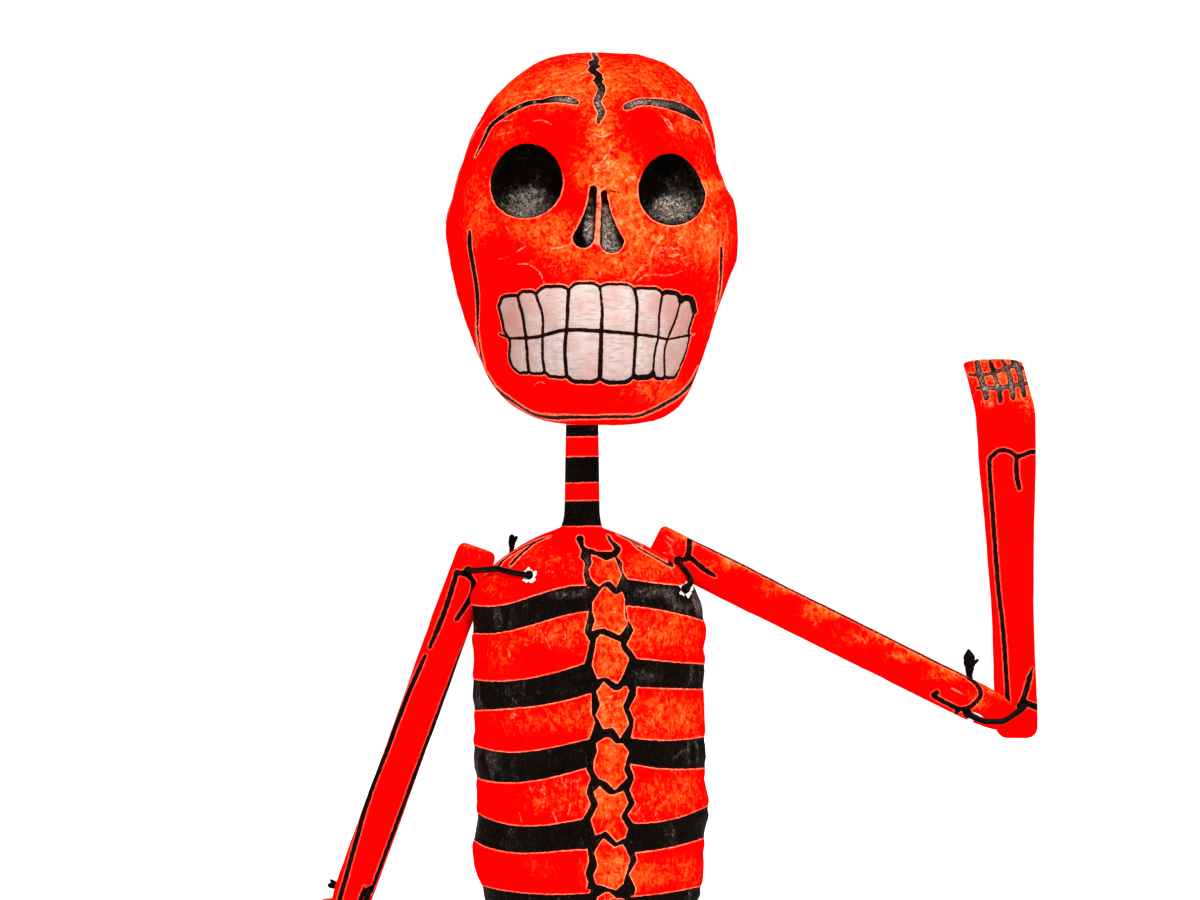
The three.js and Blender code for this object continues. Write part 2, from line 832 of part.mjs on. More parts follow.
function shoulderWire(arm) {
  const { chest, limb } = shoulderHoles(arm);
  const lift = wireRadius + restGap;
  const frontFace = arm.start.y - upperArmDepth / 2 - lift;
  const backFace = arm.start.y + upperArmDepth / 2 + lift;
  const corners = [new THREE.Vector3(chest.x, torsoSkinY(chest.x, chest.z) - lift, chest.z)];
  const holeAngle = torsoAngle(chest.x, chest.z);
  const edgeAngle = arm.side * THREE.MathUtils.degToRad(wireEdgeAngle);
  for (let step = 1; step <= wireSteps; step += 1) {
    const z = mix(chest.z, limb.z, step / (wireSteps + 1));
    const angle = mix(holeAngle, edgeAngle, step / wireSteps);
    corners.push(torsoPoint(z, angle, lift + wireSlack));
  }
  corners.push(new THREE.Vector3(limb.x, frontFace, limb.z));
  corners.push(new THREE.Vector3(limb.x, backFace, limb.z));
  const backY = Math.max(torsoSkinY(chest.x, chest.z, true) + lift, backFace);
  corners.push(new THREE.Vector3(chest.x, backY, chest.z));
  const foot = corners.at(-2).clone().lerp(corners.at(-1), shoulderStubPlace);
  const tip = foot.clone();
  tip.z += shoulderStubLength;
  return tieWire(corners, foot, tip);
}

function elbowWire(arm, forearm) {
  const { upper, lower } = elbowHoles(arm, forearm);
  const lift = wireRadius + restGap;
  const frontY = arm.start.y - upperArmDepth / 2 - lift;
  const lowerFront = forearm.start.y - forearmDepth / 2 - lift;
  const backY = arm.start.y + upperArmDepth / 2 + lift;
  const lowerBack = forearm.start.y + forearmDepth / 2 + lift;
  const sag = Math.min(upper.z, lower.z) - elbowSag;
  const corners = [
    new THREE.Vector3(upper.x, frontY, upper.z),
    new THREE.Vector3(mix(upper.x, lower.x, elbowSagStart), frontY, sag),
    new THREE.Vector3(mix(upper.x, lower.x, elbowSagEnd), frontY, sag),
    new THREE.Vector3(lower.x, Math.min(frontY + wireDiameter, lowerFront), lower.z),
    new THREE.Vector3(lower.x, lowerBack, lower.z),
    new THREE.Vector3(mix(upper.x, lower.x, elbowReturn), lowerBack, upper.z),
    new THREE.Vector3(upper.x, backY, upper.z),
  ];
  const left = arm.side < 0;
  const lean = THREE.MathUtils.degToRad(left ? leftElbowStubLean : rightElbowStubLean);
  const reach = left ? leftElbowStubLength : rightElbowStubLength;
  const foot = corners[5].clone().lerp(corners[6], elbowStubPlace);
  const tip = foot.clone();
  tip.x += arm.side * reach * Math.sin(lean);
  tip.z += reach * Math.cos(lean);
  return tieWire(corners, foot, tip);
}

function hipWire(side) {
  const { hip, thighUpper } = legHoles(side);
  const lift = wireRadius + restGap;
  const thighAxis = legPoint(side, thighForward, 0);
  const reach = thighDepth / 2 + lift;
  const corners = [
    new THREE.Vector3(hip.x, torsoSkinY(hip.x, hip.z) - lift, hip.z),
    new THREE.Vector3(hip.x, torsoSkinY(hip.x, hip.z) - lift, pelvisLevel - lift),
    new THREE.Vector3(hip.x, thighAxis.y - reach, thighUpper.z),
    new THREE.Vector3(hip.x, thighAxis.y + reach, thighUpper.z),
    new THREE.Vector3(hip.x, torsoSkinY(hip.x, hip.z, true) + lift, pelvisLevel - lift),
    new THREE.Vector3(hip.x, torsoSkinY(hip.x, hip.z, true) + lift, hip.z),
  ];
  const foot = corners[4].clone().lerp(corners[5], hipStubPlace);
  const tip = foot.clone();
  tip.x += side * legStubLength;
  tip.y += wireDiameter;
  return tieWire(corners, foot, tip);
}

function kneeWire(side) {
  const { thighLower, shin } = legHoles(side);
  const lift = wireRadius + restGap;
  const thighAxis = legPoint(side, thighForward, 0);
  const shinAxis = legPoint(side, shinForward, 0);
  const frontY = thighAxis.y - thighDepth / 2 - lift;
  const backY = shinAxis.y + shinDepth / 2 + lift;
  const corners = [
    new THREE.Vector3(thighLower.x, frontY, thighLower.z),
    new THREE.Vector3(thighLower.x, frontY, thighBottom - lift),
    new THREE.Vector3(shin.x, shinAxis.y - shinDepth / 2 - lift, shin.z),
    new THREE.Vector3(shin.x, backY, shin.z),
    new THREE.Vector3(shin.x, backY, kneeTop + lift),
    new THREE.Vector3(thighLower.x, thighAxis.y + thighDepth / 2 + lift, thighLower.z),
  ];
  const foot = corners[4].clone().lerp(corners[5], kneeStubPlace);
  const tip = foot.clone();
  tip.x += side * legStubLength;
  tip.y += wireRadius;
  return tieWire(corners, foot, tip);
}

// Base
function baseRow(z, inset) {
  const row = [];
  const radius = baseCorner - inset;
  const corners = [[1, 1], [-1, 1], [-1, -1], [1, -1]];
  corners.forEach(([signX, signY], corner) => {
    for (let step = 0; step <= baseCornerSteps; step += 1) {
      const angle = (Math.PI / 2) * (corner + step / baseCornerSteps);
      const centreX = signX * (baseWidth / 2 - inset - radius);
      const centreY = signY * (baseDepth / 2 - inset - radius);
      const x = centreX + radius * Math.cos(angle);
      row.push(new THREE.Vector3(x, centreY + radius * Math.sin(angle), z));
    }
  });
  return row;
}

function baseSkin() {
  return closedSkin([
    baseRow(0, 0),
    baseRow(baseHeight - baseBevel, 0),
    baseRow(baseHeight - baseBevel * bevelRound, baseBevel * bevelRound),
    baseRow(baseHeight, baseBevel),
  ]);
}

function piece(name, geometry, color, roughness) {
  const material = new THREE.MeshStandardMaterial({ color, roughness });
  const mesh = new THREE.Mesh(geometry, material);
  mesh.name = name;
  return mesh;
}

function paperPiece(name, solid) {
  return piece(name, geometryOf(solid), 0xe0180c, 0.5);
}

function wirePiece(name, solid) {
  return piece(name, geometryOf(solid), 0x17120f, 0.45);
}

function legPieces(side, word) {
  const holes = legHoles(side);
  const thigh = solidOf(thighSkin(side))
    .subtract(boreAt(holes.thighUpper.x, holes.thighUpper.z))
    .subtract(boreAt(holes.thighLower.x, holes.thighLower.z));
  const shin = solidOf(shinSkin(side)).subtract(boreAt(holes.shin.x, holes.shin.z));
  return [
    paperPiece(`thigh_${word}`, thigh),
    paperPiece(`shin_${word}`, shin),
    wirePiece(`wire_hip_${word}`, hipWire(side)),
    wirePiece(`wire_knee_${word}`, kneeWire(side)),
  ];
}

function armPieces(side, word) {
  const arm = armFrame(side);
  const forearm = forearmFrame(arm);
  const shoulder = shoulderHoles(arm);
  const elbow = elbowHoles(arm, forearm);
  const upper = solidOf(upperArmSkin(arm))
    .subtract(solidOf(torsoSkin(restGap)))
    .subtract(boreAt(shoulder.limb.x, shoulder.limb.z))
    .subtract(boreAt(elbow.upper.x, elbow.upper.z));
  const lower = solidOf(forearmSkin(forearm)).subtract(boreAt(elbow.lower.x, elbow.lower.z));
  return [
    paperPiece(`upper_arm_${word}`, upper),
    paperPiece(`forearm_${word}`, lower),
    wirePiece(`wire_shoulder_${word}`, shoulderWire(arm)),
    wirePiece(`wire_elbow_${word}`, elbowWire(arm, forearm)),
  ];
}

function torsoSolid() {
  let torso = solidOf(torsoSkin());
  for (const side of [-1, 1]) {
    const { chest } = shoulderHoles(armFrame(side));
    const { hip } = legHoles(side);
    torso = torso
      .subtract(boreAt(chest.x, chest.z))
      .subtract(boreAt(hip.x, hip.z))
      .subtract(solidOf(thighSkin(side, restGap)));
  }
  return torso;
}

function figure() {
  const group = new THREE.Group();
  group.name = "skeleton_figure";
  group.add(paperPiece("skull", skullSolid()));
  group.add(paperPiece("torso", torsoSolid()));
  group.add(...armPieces(-1, "left"), ...armPieces(1, "right"));
  group.add(...legPieces(-1, "left"), ...legPieces(1, "right"));
  group.add(piece("base", baseSkin(), 0x1c1714, 0.6));
  return group;
}

export default figure();
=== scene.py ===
import math
from functools import reduce
from itertools import product
import bpy
import numpy as np
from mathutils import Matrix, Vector


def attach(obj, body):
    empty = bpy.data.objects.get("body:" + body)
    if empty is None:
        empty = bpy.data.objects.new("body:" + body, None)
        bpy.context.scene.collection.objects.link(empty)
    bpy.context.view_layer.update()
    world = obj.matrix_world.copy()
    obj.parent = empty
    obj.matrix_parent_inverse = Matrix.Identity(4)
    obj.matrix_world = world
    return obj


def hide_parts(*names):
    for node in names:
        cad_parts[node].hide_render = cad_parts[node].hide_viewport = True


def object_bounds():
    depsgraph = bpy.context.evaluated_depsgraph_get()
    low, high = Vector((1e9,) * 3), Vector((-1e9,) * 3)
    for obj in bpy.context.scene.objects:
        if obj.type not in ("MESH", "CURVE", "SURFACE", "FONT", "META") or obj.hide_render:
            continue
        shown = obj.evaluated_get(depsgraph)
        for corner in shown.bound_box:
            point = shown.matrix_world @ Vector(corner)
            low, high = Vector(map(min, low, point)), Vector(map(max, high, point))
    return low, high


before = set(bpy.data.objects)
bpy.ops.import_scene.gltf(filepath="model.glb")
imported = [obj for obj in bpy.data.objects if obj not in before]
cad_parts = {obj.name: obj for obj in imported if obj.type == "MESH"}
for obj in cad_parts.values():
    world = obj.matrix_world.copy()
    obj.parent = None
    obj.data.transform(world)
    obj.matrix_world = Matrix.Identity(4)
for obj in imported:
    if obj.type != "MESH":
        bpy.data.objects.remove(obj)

cadLow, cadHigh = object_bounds()
metre = 0.001  # the shapes below are in millimetres, the scene is in metres
far = 40.0  # a distance that stands for nowhere near
quarter = math.pi / 2  # of a turn
bothSides = ((-1, "left"), (1, "right"))
print("frame loaded, box in metres", [round(v, 4) for v in (*cadLow, *cadHigh)])


# Small helpers on arrays
# Every shape is an array of points (x, y, z); +Z is up and the figure faces -Y.

def smooth(start, end, value):
    t = np.clip((value - start) / (end - start), 0, 1)
    return t * t * (3 - 2 * t)


def mix(a, b, t):
    return a + (b - a) * t


def bump(value, centre, reach):
    return np.exp(-(((value - centre) / reach) ** 2))


def rounded(distance, power, root):
    return np.maximum(0, 1 - np.minimum(1, np.abs(distance)) ** power) ** (1 / root)


def signedPower(value, power):
    return np.sign(value) * np.abs(value) ** power


def least(*values):
    return reduce(np.minimum, values)


def most(*values):
    return reduce(np.maximum, values)


def unit(vector):
    return vector / np.linalg.norm(vector, axis=-1, keepdims=True)


def point(x, y, z):
    return np.array([x, y, z], dtype=float)


def turned(points, degrees):
    sine, cosine = math.sin(math.radians(degrees)), math.cos(math.radians(degrees))
    x, y, z = np.moveaxis(points, -1, 0)
    return np.stack([x * cosine - y * sine, x * sine + y * cosine, z], axis=-1)


# Noise

def scrambled(cell, seed):
    h = (cell[..., 0] * 73856093) ^ (cell[..., 1] * 19349663) ^ (cell[..., 2] * 83492791)
    h = (h ^ (seed * 2654435761)) & 0xFFFFFFFF
    h = ((h ^ (h >> 15)) * 2246822519) & 0xFFFFFFFF
    return ((h ^ (h >> 13)) & 0xFFFF) / 32767.5 - 1


def noise(points, size, seed=0):  # smooth values from -1 to 1, one lump per size
    p = np.asarray(points) / size + 100
    cell = np.floor(p).astype(np.int64)
    t = p - cell
    t = t * t * t * (t * (t * 6 - 15) + 10)
    total = 0
    for corner in product((0, 1), repeat=3):
        weight = np.prod(np.abs(1 - np.array(corner) - t), axis=-1)
        total = total + scrambled(cell + np.array(corner), seed) * weight
    return total


def fractal(points, size, seed):  # a noise with one half its size and strength on it
    return noise(points, size, seed) + 0.5 * noise(points, size / 2, seed + 1)


def creases(points, size, seed, sharp=9):  # thin ridges, as folds in pasted paper
    warp = np.stack([fractal(points, size * 1.5, seed + 5 + axis) for axis in range(3)], axis=-1)
    return np.maximum(0, 1 - np.abs(noise(points + warp * size * 0.45, size, seed)) * sharp)


def pastedSkin(points, piece, folds, seed):  # how high the lumps and folds of pasted paper stand out
    lumps = (height * fractal(points, size, seed + step) for height, size, step in piece["lumps"])
    return sum(lumps) + piece["folds"] * folds


# Drawing on a surface
# A gap is a distance to an edge, below zero inside. A stroke is its width or widths, the share of
# the width at each end, and the places (x, z) that it runs through, all in millimetres.

photoView = dict(
    distance=1250,  # from the camera to the plane y = 0
    level=481,  # the height that the camera looks along
    lens=126.8, sensor=36,
)


def asSeen(points):  # where each point stands in the picture plane, x and z
    pull = photoView["distance"] / (photoView["distance"] + points[..., 1])
    level = photoView["level"]
    return points[..., 0] * pull, level + (points[..., 2] - level) * pull


def smoothLine(places, steps=7):
    p = np.array(places, dtype=float)
    if len(p) < 3:
        return mix(p[0], p[1], np.linspace(0, 1, steps + 1)[:, None])
    padded = np.vstack([2 * p[0] - p[1], p, 2 * p[-1] - p[-2]])
    t = np.arange(steps)[:, None] / steps
    line = [0.5 * (2 * b + (c - a) * t + (2 * a - 5 * b + 4 * c - d) * t ** 2
                   + (3 * b - a - 3 * c + d) * t ** 3)
            for a, b, c, d in zip(padded, padded[1:], padded[2:], padded[3:])]
    return np.vstack([*line, p[-1]])


def toSegment(x, z, a, b):  # distance to the straight line from a to b, and the share along it
    dx, dz = b[0] - a[0], b[1] - a[1]
    share = np.clip(((x - a[0]) * dx + (z - a[1]) * dz) / (dx * dx + dz * dz + 1e-9), 0, 1)
    return np.hypot(x - a[0] - dx * share, z - a[1] - dz * share), share


def strokeGap(x, z, width, ends, places, steps=7, margin=6):
    line = smoothLine(places, steps)
    along = np.linspace(0, 1, len(line))
    length = np.linalg.norm(np.diff(line, axis=0), axis=1).sum() + 1e-9
    taper = min(0.25, 5 / length)
    start, end = (mix(end, 1, smooth(0, taper, away)) for end, away in zip(ends, (along, 1 - along)))
    widths = np.interp(along, np.linspace(0, 1, np.size(width)), np.ravel(width))
    half = widths / 2 * np.minimum(start, end)
    (lowX, lowZ), (highX, highZ) = line.min(axis=0) - margin, line.max(axis=0) + margin
    near = (x > lowX) & (x < highX) & (z > lowZ) & (z < highZ)
    nearX, nearZ = x[near], z[near]
    nearGap = np.full(nearX.shape, far)
    for a, b, halfA, halfB in zip(line, line[1:], half, half[1:]):
        away, share = toSegment(nearX, nearZ, a, b)
        nearGap = np.minimum(nearGap, away - mix(halfA, halfB, share))
    gap = np.full(x.shape, far)
    gap[near] = nearGap
    return gap


def strokesGap(x, z, strokes, steps=7):
    return least(np.full(x.shape, far), *(strokeGap(x, z, *stroke, steps) for stroke in strokes))


def foldGap(x, z, folds, width=0.25):
    return strokesGap(x, z, [(width, (0.2, 0.2), fold) for fold in folds], 4)


def areaGap(x, z, corners):
    gap, inside = np.full(x.shape, np.inf), np.zeros(x.shape, dtype=bool)
    for a, b in zip(corners, [*corners[1:], corners[0]]):
        gap = np.minimum(gap, toSegment(x, z, a, b)[0])
        crossing = a[0] + (z - a[1]) * (b[0] - a[0]) / (b[1] - a[1] or 1e-9)
        inside ^= ((a[1] > z) != (b[1] > z)) & (x < crossing)
    return np.where(inside, -gap, gap)


def ovalGap(x, z, centre, reachX, reachZ):
    return (np.hypot((x - centre[0]) / reachX, (z - centre[1]) / reachZ) - 1) * (reachX + reachZ) / 2


def dropGap(x, z, top, bottom):  # a drop from one circle (x, z, radius) to another, slim for long
    share = toSegment(x, z, top, bottom)[1]
    swell = share ** 1.7
    away = np.hypot(x - mix(top[0], bottom[0], swell), z - mix(top[1], bottom[1], share))
    return away - mix(top[2], bottom[2], swell), share


def pulledToEdge(x, z, gapOf, reach, power=1.7, step=0.05):
    # moves points of the grid towards an edge, so that the edge comes out crisp
    gap = gapOf(x, z)
    slopeX, slopeZ = (gapOf(x + step, z) - gap) / step, (gapOf(x, z + step) - gap) / step
    size = np.maximum(np.hypot(slopeX, slopeZ), 0.7)
    wanted = np.sign(gap) * reach * (np.minimum(np.abs(gap), reach) / reach) ** power
    shift = np.where(np.abs(gap) < reach, wanted - gap, 0) / size ** 2
    return x + shift * slopeX, z + shift * slopeZ


def spotsOf(x, z, spots):  # each spot is x, z, reach across, reach up and strength
    total = 0 * x
    for spotX, spotZ, reachX, reachZ, strength in spots:
        total = total + strength * bump(x, spotX, reachX) * bump(z, spotZ, reachZ)
    return np.minimum(total, 1)


def sideShift(z, across, sides):  # moves the left and the right edge of a shape sideways
    levels, left, right = zip(*sides)
    return (np.interp(z, levels, left) * smooth(0.45, 0.98, -across)
            + np.interp(z, levels, right) * smooth(0.45, 0.98, across))


# Meshes

def addObject(name, data):
    made = bpy.data.objects.new(name, data)
    bpy.context.scene.collection.objects.link(made)
    return made


def skinFrom(name, *grids):
    # a closed mesh through the rows of points of each grid, with a fan over each end
    points, faces = np.empty((0, 3)), []
    for rows in grids:
        count, around = rows.shape[:2]
        index = len(points) + np.arange(count * around).reshape(count, around)
        after = np.roll(index, -1, axis=1)
        points = np.vstack([points, rows.reshape(-1, 3), rows[0].mean(axis=0), rows[-1].mean(axis=0)])
        middle = np.full(around, len(points) - 2)
        quads = np.stack([index[:-1], after[:-1], after[1:], index[1:]], axis=-1).reshape(-1, 4)
        fans = np.stack([middle, after[0], index[0]]).T, np.stack([middle + 1, index[-1], after[-1]]).T
        a, b, c = (points[quads[:, corner]] for corner in range(3))
        outward = 1 if np.sum(a * np.cross(b, c)) > 0 else -1
        for part in (quads, *fans):
            faces += part[:, ::outward].tolist()
    mesh = bpy.data.meshes.new(name)
    mesh.from_pydata((points * metre).tolist(), [], faces)
    mesh.polygons.foreach_set("use_smooth", [True] * len(faces))
    mesh.update()
    return addObject(name, mesh)


def capped(values):  # the values of a grid as those of its mesh, with the middles of the two fans
    return np.concatenate([values.ravel(), [values[0].mean()], [values[-1].mean()]])


def verticesOf(piece, what):
    flat = np.empty(len(piece.data.vertices) * 3, dtype=np.float32)
    piece.data.vertices.foreach_get(what, flat)
    return flat.reshape(-1, 3).astype(float)


def placesOf(piece):
    return verticesOf(piece, "co") / metre


def normalsOf(piece):
    return verticesOf(piece, "normal")


def place(piece, places):
    piece.data.vertices.foreach_set("co", (places * metre).astype(np.float32).ravel())
    piece.data.update()


def moveOut(piece, height):  # raises the skin, but never out of the box of the whole solid model
    places = placesOf(piece) + normalsOf(piece) * np.reshape(height, (-1, 1))
    place(piece, np.clip(places, np.array(cadLow) / metre, np.array(cadHigh) / metre))


def mark(piece, **layers):  # values for each point, which the paint reads
    for name, values in layers.items():
        data = piece.data.attributes.new(name, "FLOAT", "POINT").data
        data.foreach_set("value", np.full(len(data), values, dtype=np.float32))


def handIn(piece, node, material):
    piece.data.materials.append(material)
    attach(piece, "root")
    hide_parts(node)
    print("made", piece.name, len(piece.data.polygons), "faces")


# Paint

paintColours = dict(
    red=(1.0, 0.0010, 0.0008),
    orange=(1.0, 0.062, 0.007),
    salmon=(1.0, 0.17, 0.05),
    paleHighlight=(1.0, 0.36, 0.2),  # painted highlight on the folds of the paper, and on the most lit places
    halo=(1.0, 0.25, 0.14),  # round the brush strokes
    bleed=(0.035, 0.003, 0.0022),  # the edge of the ink
    black=(0.0048, 0.0028, 0.0013),
    greyBlack=(0.013, 0.009, 0.0066),
    glint=(0.05, 0.04, 0.034),  # creases in the ink that catch the light
    grey=(0.62, 0.53, 0.47),  # worn ink, and painted sheen on the glossy ink
    brown=(0.4, 0.29, 0.25),  # worn ink and painted sheen of a thin line, browner
    white=(0.47, 0.385, 0.37),
    thread=(0.3, 0.24, 0.215),  # weave of the pasted cloth
    torn=(0.78, 0.75, 0.73),  # bare paper
    pink=(0.43, 0.2, 0.16),
)


class Value:  # what a node gives; + - * and abs() of it make another node
    def __init__(self, nodes, socket):
        self.nodes, self.socket = nodes, socket

    def __add__(self, other):
        return self.nodes.math("ADD", self, other)

    def __sub__(self, other):
        return self.nodes.math("SUBTRACT", self, other)

    def __mul__(self, other):
        return self.nodes.math("MULTIPLY", self, other)

    def __abs__(self):
        return self.nodes.math("ABSOLUTE", self)


class Nodes:  # short calls for laying out a material or a world
    def __init__(self, owner, shader="Principled BSDF"):
        self.owner = owner
        owner.use_nodes = True
        self.tree = owner.node_tree
        self.shader = self.tree.nodes[shader]

    def fill(self, node, inputs):
        for key, value in inputs.items():
            if isinstance(value, Value):
                self.tree.links.new(value.socket, node.inputs[key])
            else:
                node.inputs[key].default_value = value

    def add(self, kind, inputs, output=0, **settings):
        node = self.tree.nodes.new(kind)
        for key, value in settings.items():
            setattr(node, key, value)
        self.fill(node, inputs)
        return Value(self, node.outputs[output])

    def surface(self, inputs):
        self.fill(self.shader, inputs)
        return self.owner

    def layer(self, name):
        return self.add("ShaderNodeAttribute", {}, "Fac", attribute_name=name)

    def place(self):
        return self.add("ShaderNodeTexCoord", {}, "Object")

    def math(self, kind, a, b=0.0):
        return self.add("ShaderNodeMath", {0: a, 1: b}, operation=kind)

    def noise(self, size, detail=3.0, roughness=0.5, distortion=0.0, stretch=None):
        place = self.place()
        if stretch:
            place = self.add("ShaderNodeMapping", {"Vector": place, "Scale": stretch})
        return self.add("ShaderNodeTexNoise", {
            "Vector": place, "Scale": 1 / (size * metre), "Detail": detail, "Roughness": roughness,
            "Distortion": distortion})

    def ramp(self, value, start, end, low=0.0, high=1.0):
        inputs = {"Value": value, "From Min": start, "From Max": end, "To Min": low, "To Max": high}
        return self.add("ShaderNodeMapRange", inputs, interpolation_type="SMOOTHSTEP")

    def blend(self, share, a, b):
        a, b = ((*colour, 1.0) if isinstance(colour, tuple) else colour for colour in (a, b))
        return self.add("ShaderNodeMix", {"Factor": share, "A": a, "B": b}, "Result", data_type="RGBA")

    def bump(self, height, depth, below=None):
        inputs = {"Strength": 1.0, "Distance": depth * metre, "Height": height}
        return self.add("ShaderNodeBump", {**inputs, "Normal": below} if below else inputs)


def paperPaint(name, streaks, grain=1.0, foldStretch=(1.0, 1.0, 1.0), halo=1.0):
    # red paint over pasted paper, with black brushwork where "ink" is below zero
    c = paintColours
    n = Nodes(bpy.data.materials.new(name))
    wobble = (n.noise(1.3, 3) - 0.5) * 0.5
    ink, thin, grey = n.layer("ink") + wobble, n.layer("thin"), n.layer("grey")
    inkShare = n.ramp(ink, 0.05, -0.05)
    patches = n.noise(8, 5, 0.65, 0.6)
    mottle = n.noise(1.7, 5, 0.7, 0.4)
    fibres = n.noise(1.5, 4, 0.65, 1.0, foldStretch)
    uneven = (patches - 0.5) * 1.5 + (mottle - 0.5) * 2.6 + (fibres - 0.5) * 2.4
    # orange, salmon and pale where the paint lies thin, and as painted highlight where the light falls on it
    thinness = thin + uneven * n.ramp(thin, 0.0, 0.8, 0.5, 1.15)
    red = c["red"]
    for colour, start, end in (("orange", 0.35, 1.0), ("salmon", 1.0, 1.6), ("paleHighlight", 1.7, 2.1)):
        red = n.blend(n.ramp(thinness, start, end), red, c[colour])
    # folds of the paper: thin pale lines, a painted highlight along their ridges
    ridge = n.ramp(abs(n.noise(7, 3, 0.55, 0.9, foldStretch) - 0.5), 0.012, 0.001)
    ridge = ridge * (n.ramp(n.noise(14, 2), 0.5, 0.66) * n.ramp(thin, 0.0, 0.6))
    drawn = n.ramp(n.layer("fold") + wobble * 1.1, 0.3, 0.0)
    fold = n.math("MAXIMUM", ridge, drawn) * n.ramp(mottle, 0.36, 0.58, 0.1, 1.0)
    red = n.blend(fold * 0.6, red, c["paleHighlight"])
    rim = n.ramp(ink, 0.55, 0.15) * n.ramp(mottle, 0.35, 0.6, 0.3 * halo, halo)
    red = n.blend(rim * n.ramp(n.layer("bare"), 0.0, 1.0, 1.0, 0.0), red, c["halo"])
    # black ink: greyer where it is worn and where a painted sheen stands for light on the glossy ink, browner
    # where the line is thin
    brush = n.noise(1.2, 4, 0.65, stretch=streaks)
    crumple = n.noise(2.6, 2, 0.55, 2.4)
    wrinkle = n.noise(2.4, 3, 0.6, 1.6, foldStretch)
    black = n.blend(n.ramp(brush, 0.52, 0.8), c["black"], c["greyBlack"])
    black = n.blend(n.ramp(wrinkle, 0.56, 0.7) * n.ramp(patches, 0.5, 0.66), black, c["glint"])
    crack = n.ramp(abs(crumple - 0.5), 0.012, 0.06, 0.05, 1.0)
    grit = n.ramp(n.noise(1.0, 3, 0.6, 1.6), 0.4, 0.57, 0.16, 1.0)
    worn = n.ramp(grey + (fibres - 0.5) * 0.9, 0.12, 1.1) * (crack * grit)
    shine = n.ramp(abs(wrinkle - 0.5), 0.024, 0.006) * n.ramp(grey, 0.1, 1.2)
    wornAndSheenInk = n.blend(n.ramp(ink, -1.6, -0.5), c["grey"], c["brown"])
    black = n.blend(n.math("MAXIMUM", worn, shine), black, wornAndSheenInk)
    black = n.blend(n.ramp(ink, -0.45, -0.05), black, c["bleed"])
    # white of the teeth and of torn paper
    whiteShare = n.ramp(n.layer("white") + wobble * 0.6, 0.05, -0.05)
    weave = n.noise(0.75, 3, 0.6, 0.3, (0.16, 0.6, 1.25))
    stain = n.noise(6, 4, 0.65, stretch=(1.0, 1.0, 0.8)) * 0.8 + weave * 0.45 + n.layer("stain")
    # pinker where stained, and where painted shade darkens the teeth towards the sides
    white = n.blend(n.ramp(stain, 0.5, 1.0), c["white"], c["pink"])
    white = n.blend(n.ramp(weave, 0.56, 0.36, 0.0, 0.75), white, c["thread"])
    white = n.blend(n.ramp(stain, 0.46, 0.32), white, c["torn"])
    matt, glossy = n.ramp(patches, 0.2, 0.8, 0.65, 0.5), n.ramp(brush, 0.3, 0.75, 0.28, 0.5)
    relief = [(n.noise(4.0, 3, 0.55), 0.2 * grain), (n.noise(0.9, 5, 0.6), 0.05 * grain), (fold, 0.1),
              (brush * inkShare, 0.2), (n.ramp(wrinkle, 0.4, 0.6) * inkShare, 0.3 * grain),
              (crumple * grey, 0.5), (weave * whiteShare, 0.06)]
    normal = None
    for height, depth in relief:
        normal = n.bump(height, depth, normal)
    return n.surface({
        "Base Color": n.blend(inkShare, n.blend(whiteShare, red, white), black),
        "Roughness": matt + (glossy - matt) * inkShare,
        "Coat Weight": inkShare * 0.09, "Coat Roughness": 0.2, "Specular IOR Level": 0.0,
        "Normal": normal, "Coat Normal": normal,
    })


# The skull

skull = dict(
    middle=-2.1, middleY=2.0, chin=488.4, height=110.0, width=86.8,
    widest=56.2,  # above the chin
    crownTaper=0.37, jawTaper=0.4, cheekSoftness=0.11,
    lean=1.9, dip=0.8, faceDepth=47.0, cranialDepth=42.0, napeTaper=0.5, squareness=2.15,
    rimReach=3.0, lumps=((0.32, 17, 0), (0.1, 5.5, 4)),  # height, size and seed
    folds=0.16, pitLumps=0.4, pitWrinkles=0.35, teeth=0.25,
    thinBehind=0.25, rows=304, frontColumns=236, backColumns=76,
    faceStart=6.0,  # the painted face lies this far in front of the middle
    toothSideShade=(0.13, 0.27), biteLevels=(514, 517),  # painted shade on the teeth at the sides, below and above the bite
    stained=(10, 26),  # from no shade to full painted shade, aside, where the teeth turn from the light
)

# rise, level above the chin, height, and half width of each swelling of the face
faceRelief = dict(
    muzzle=(3.6, 29, 17, 21),
    brow=(1.8, 91, 5.5, 29),
    nose=(2.2, 63, 12, 5),
    cheek=(1.8, 51, 7, 9),
    cheekSpacing=54, noseAside=1.6,
)

eyeSockets = dict(
    depth=13.0, wall=3.25,
    left=(-19.1, 69.6, 10.65, 10.8, 0.1),  # aside, level above the chin, reach x and z, unevenness
    right=(22.7, 67.2, 9.65, 10.5, 0.18),
)

# each nostril: aside, level above the chin and radius, at its top and at its bottom
nostrils = dict(
    left=[(-1.9, 66.9, 1.1), (-4.75, 53.2, 3.1)], right=[(1.2, 65.9, 0.9), (3.35, 52.2, 3.5)],
    topDepth=2.6, bottomDepth=4.4,
)

# flat facets of the pasted paper: direction from the middle, and how deep each one cuts
skullFacets = [
    ((0.62, -0.1, 0.78), 0.9), ((0.86, -0.15, 0.5), 0.7), ((0.3, -0.12, 0.95), 0.5),
    ((-0.55, 0.2, 0.8), 0.8), ((-0.85, -0.1, 0.5), 0.4), ((0.5, 0.6, 0.6), 0.9),
    ((-0.4, 0.75, 0.5), 0.9), ((0.1, 0.9, 0.3), 0.8), ((0.75, 0.6, -0.1), 0.8),
    ((-0.8, 0.55, -0.05), 0.8), ((0.35, -0.6, 0.72), 0.35), ((-0.4, -0.55, 0.72), 0.35),
]


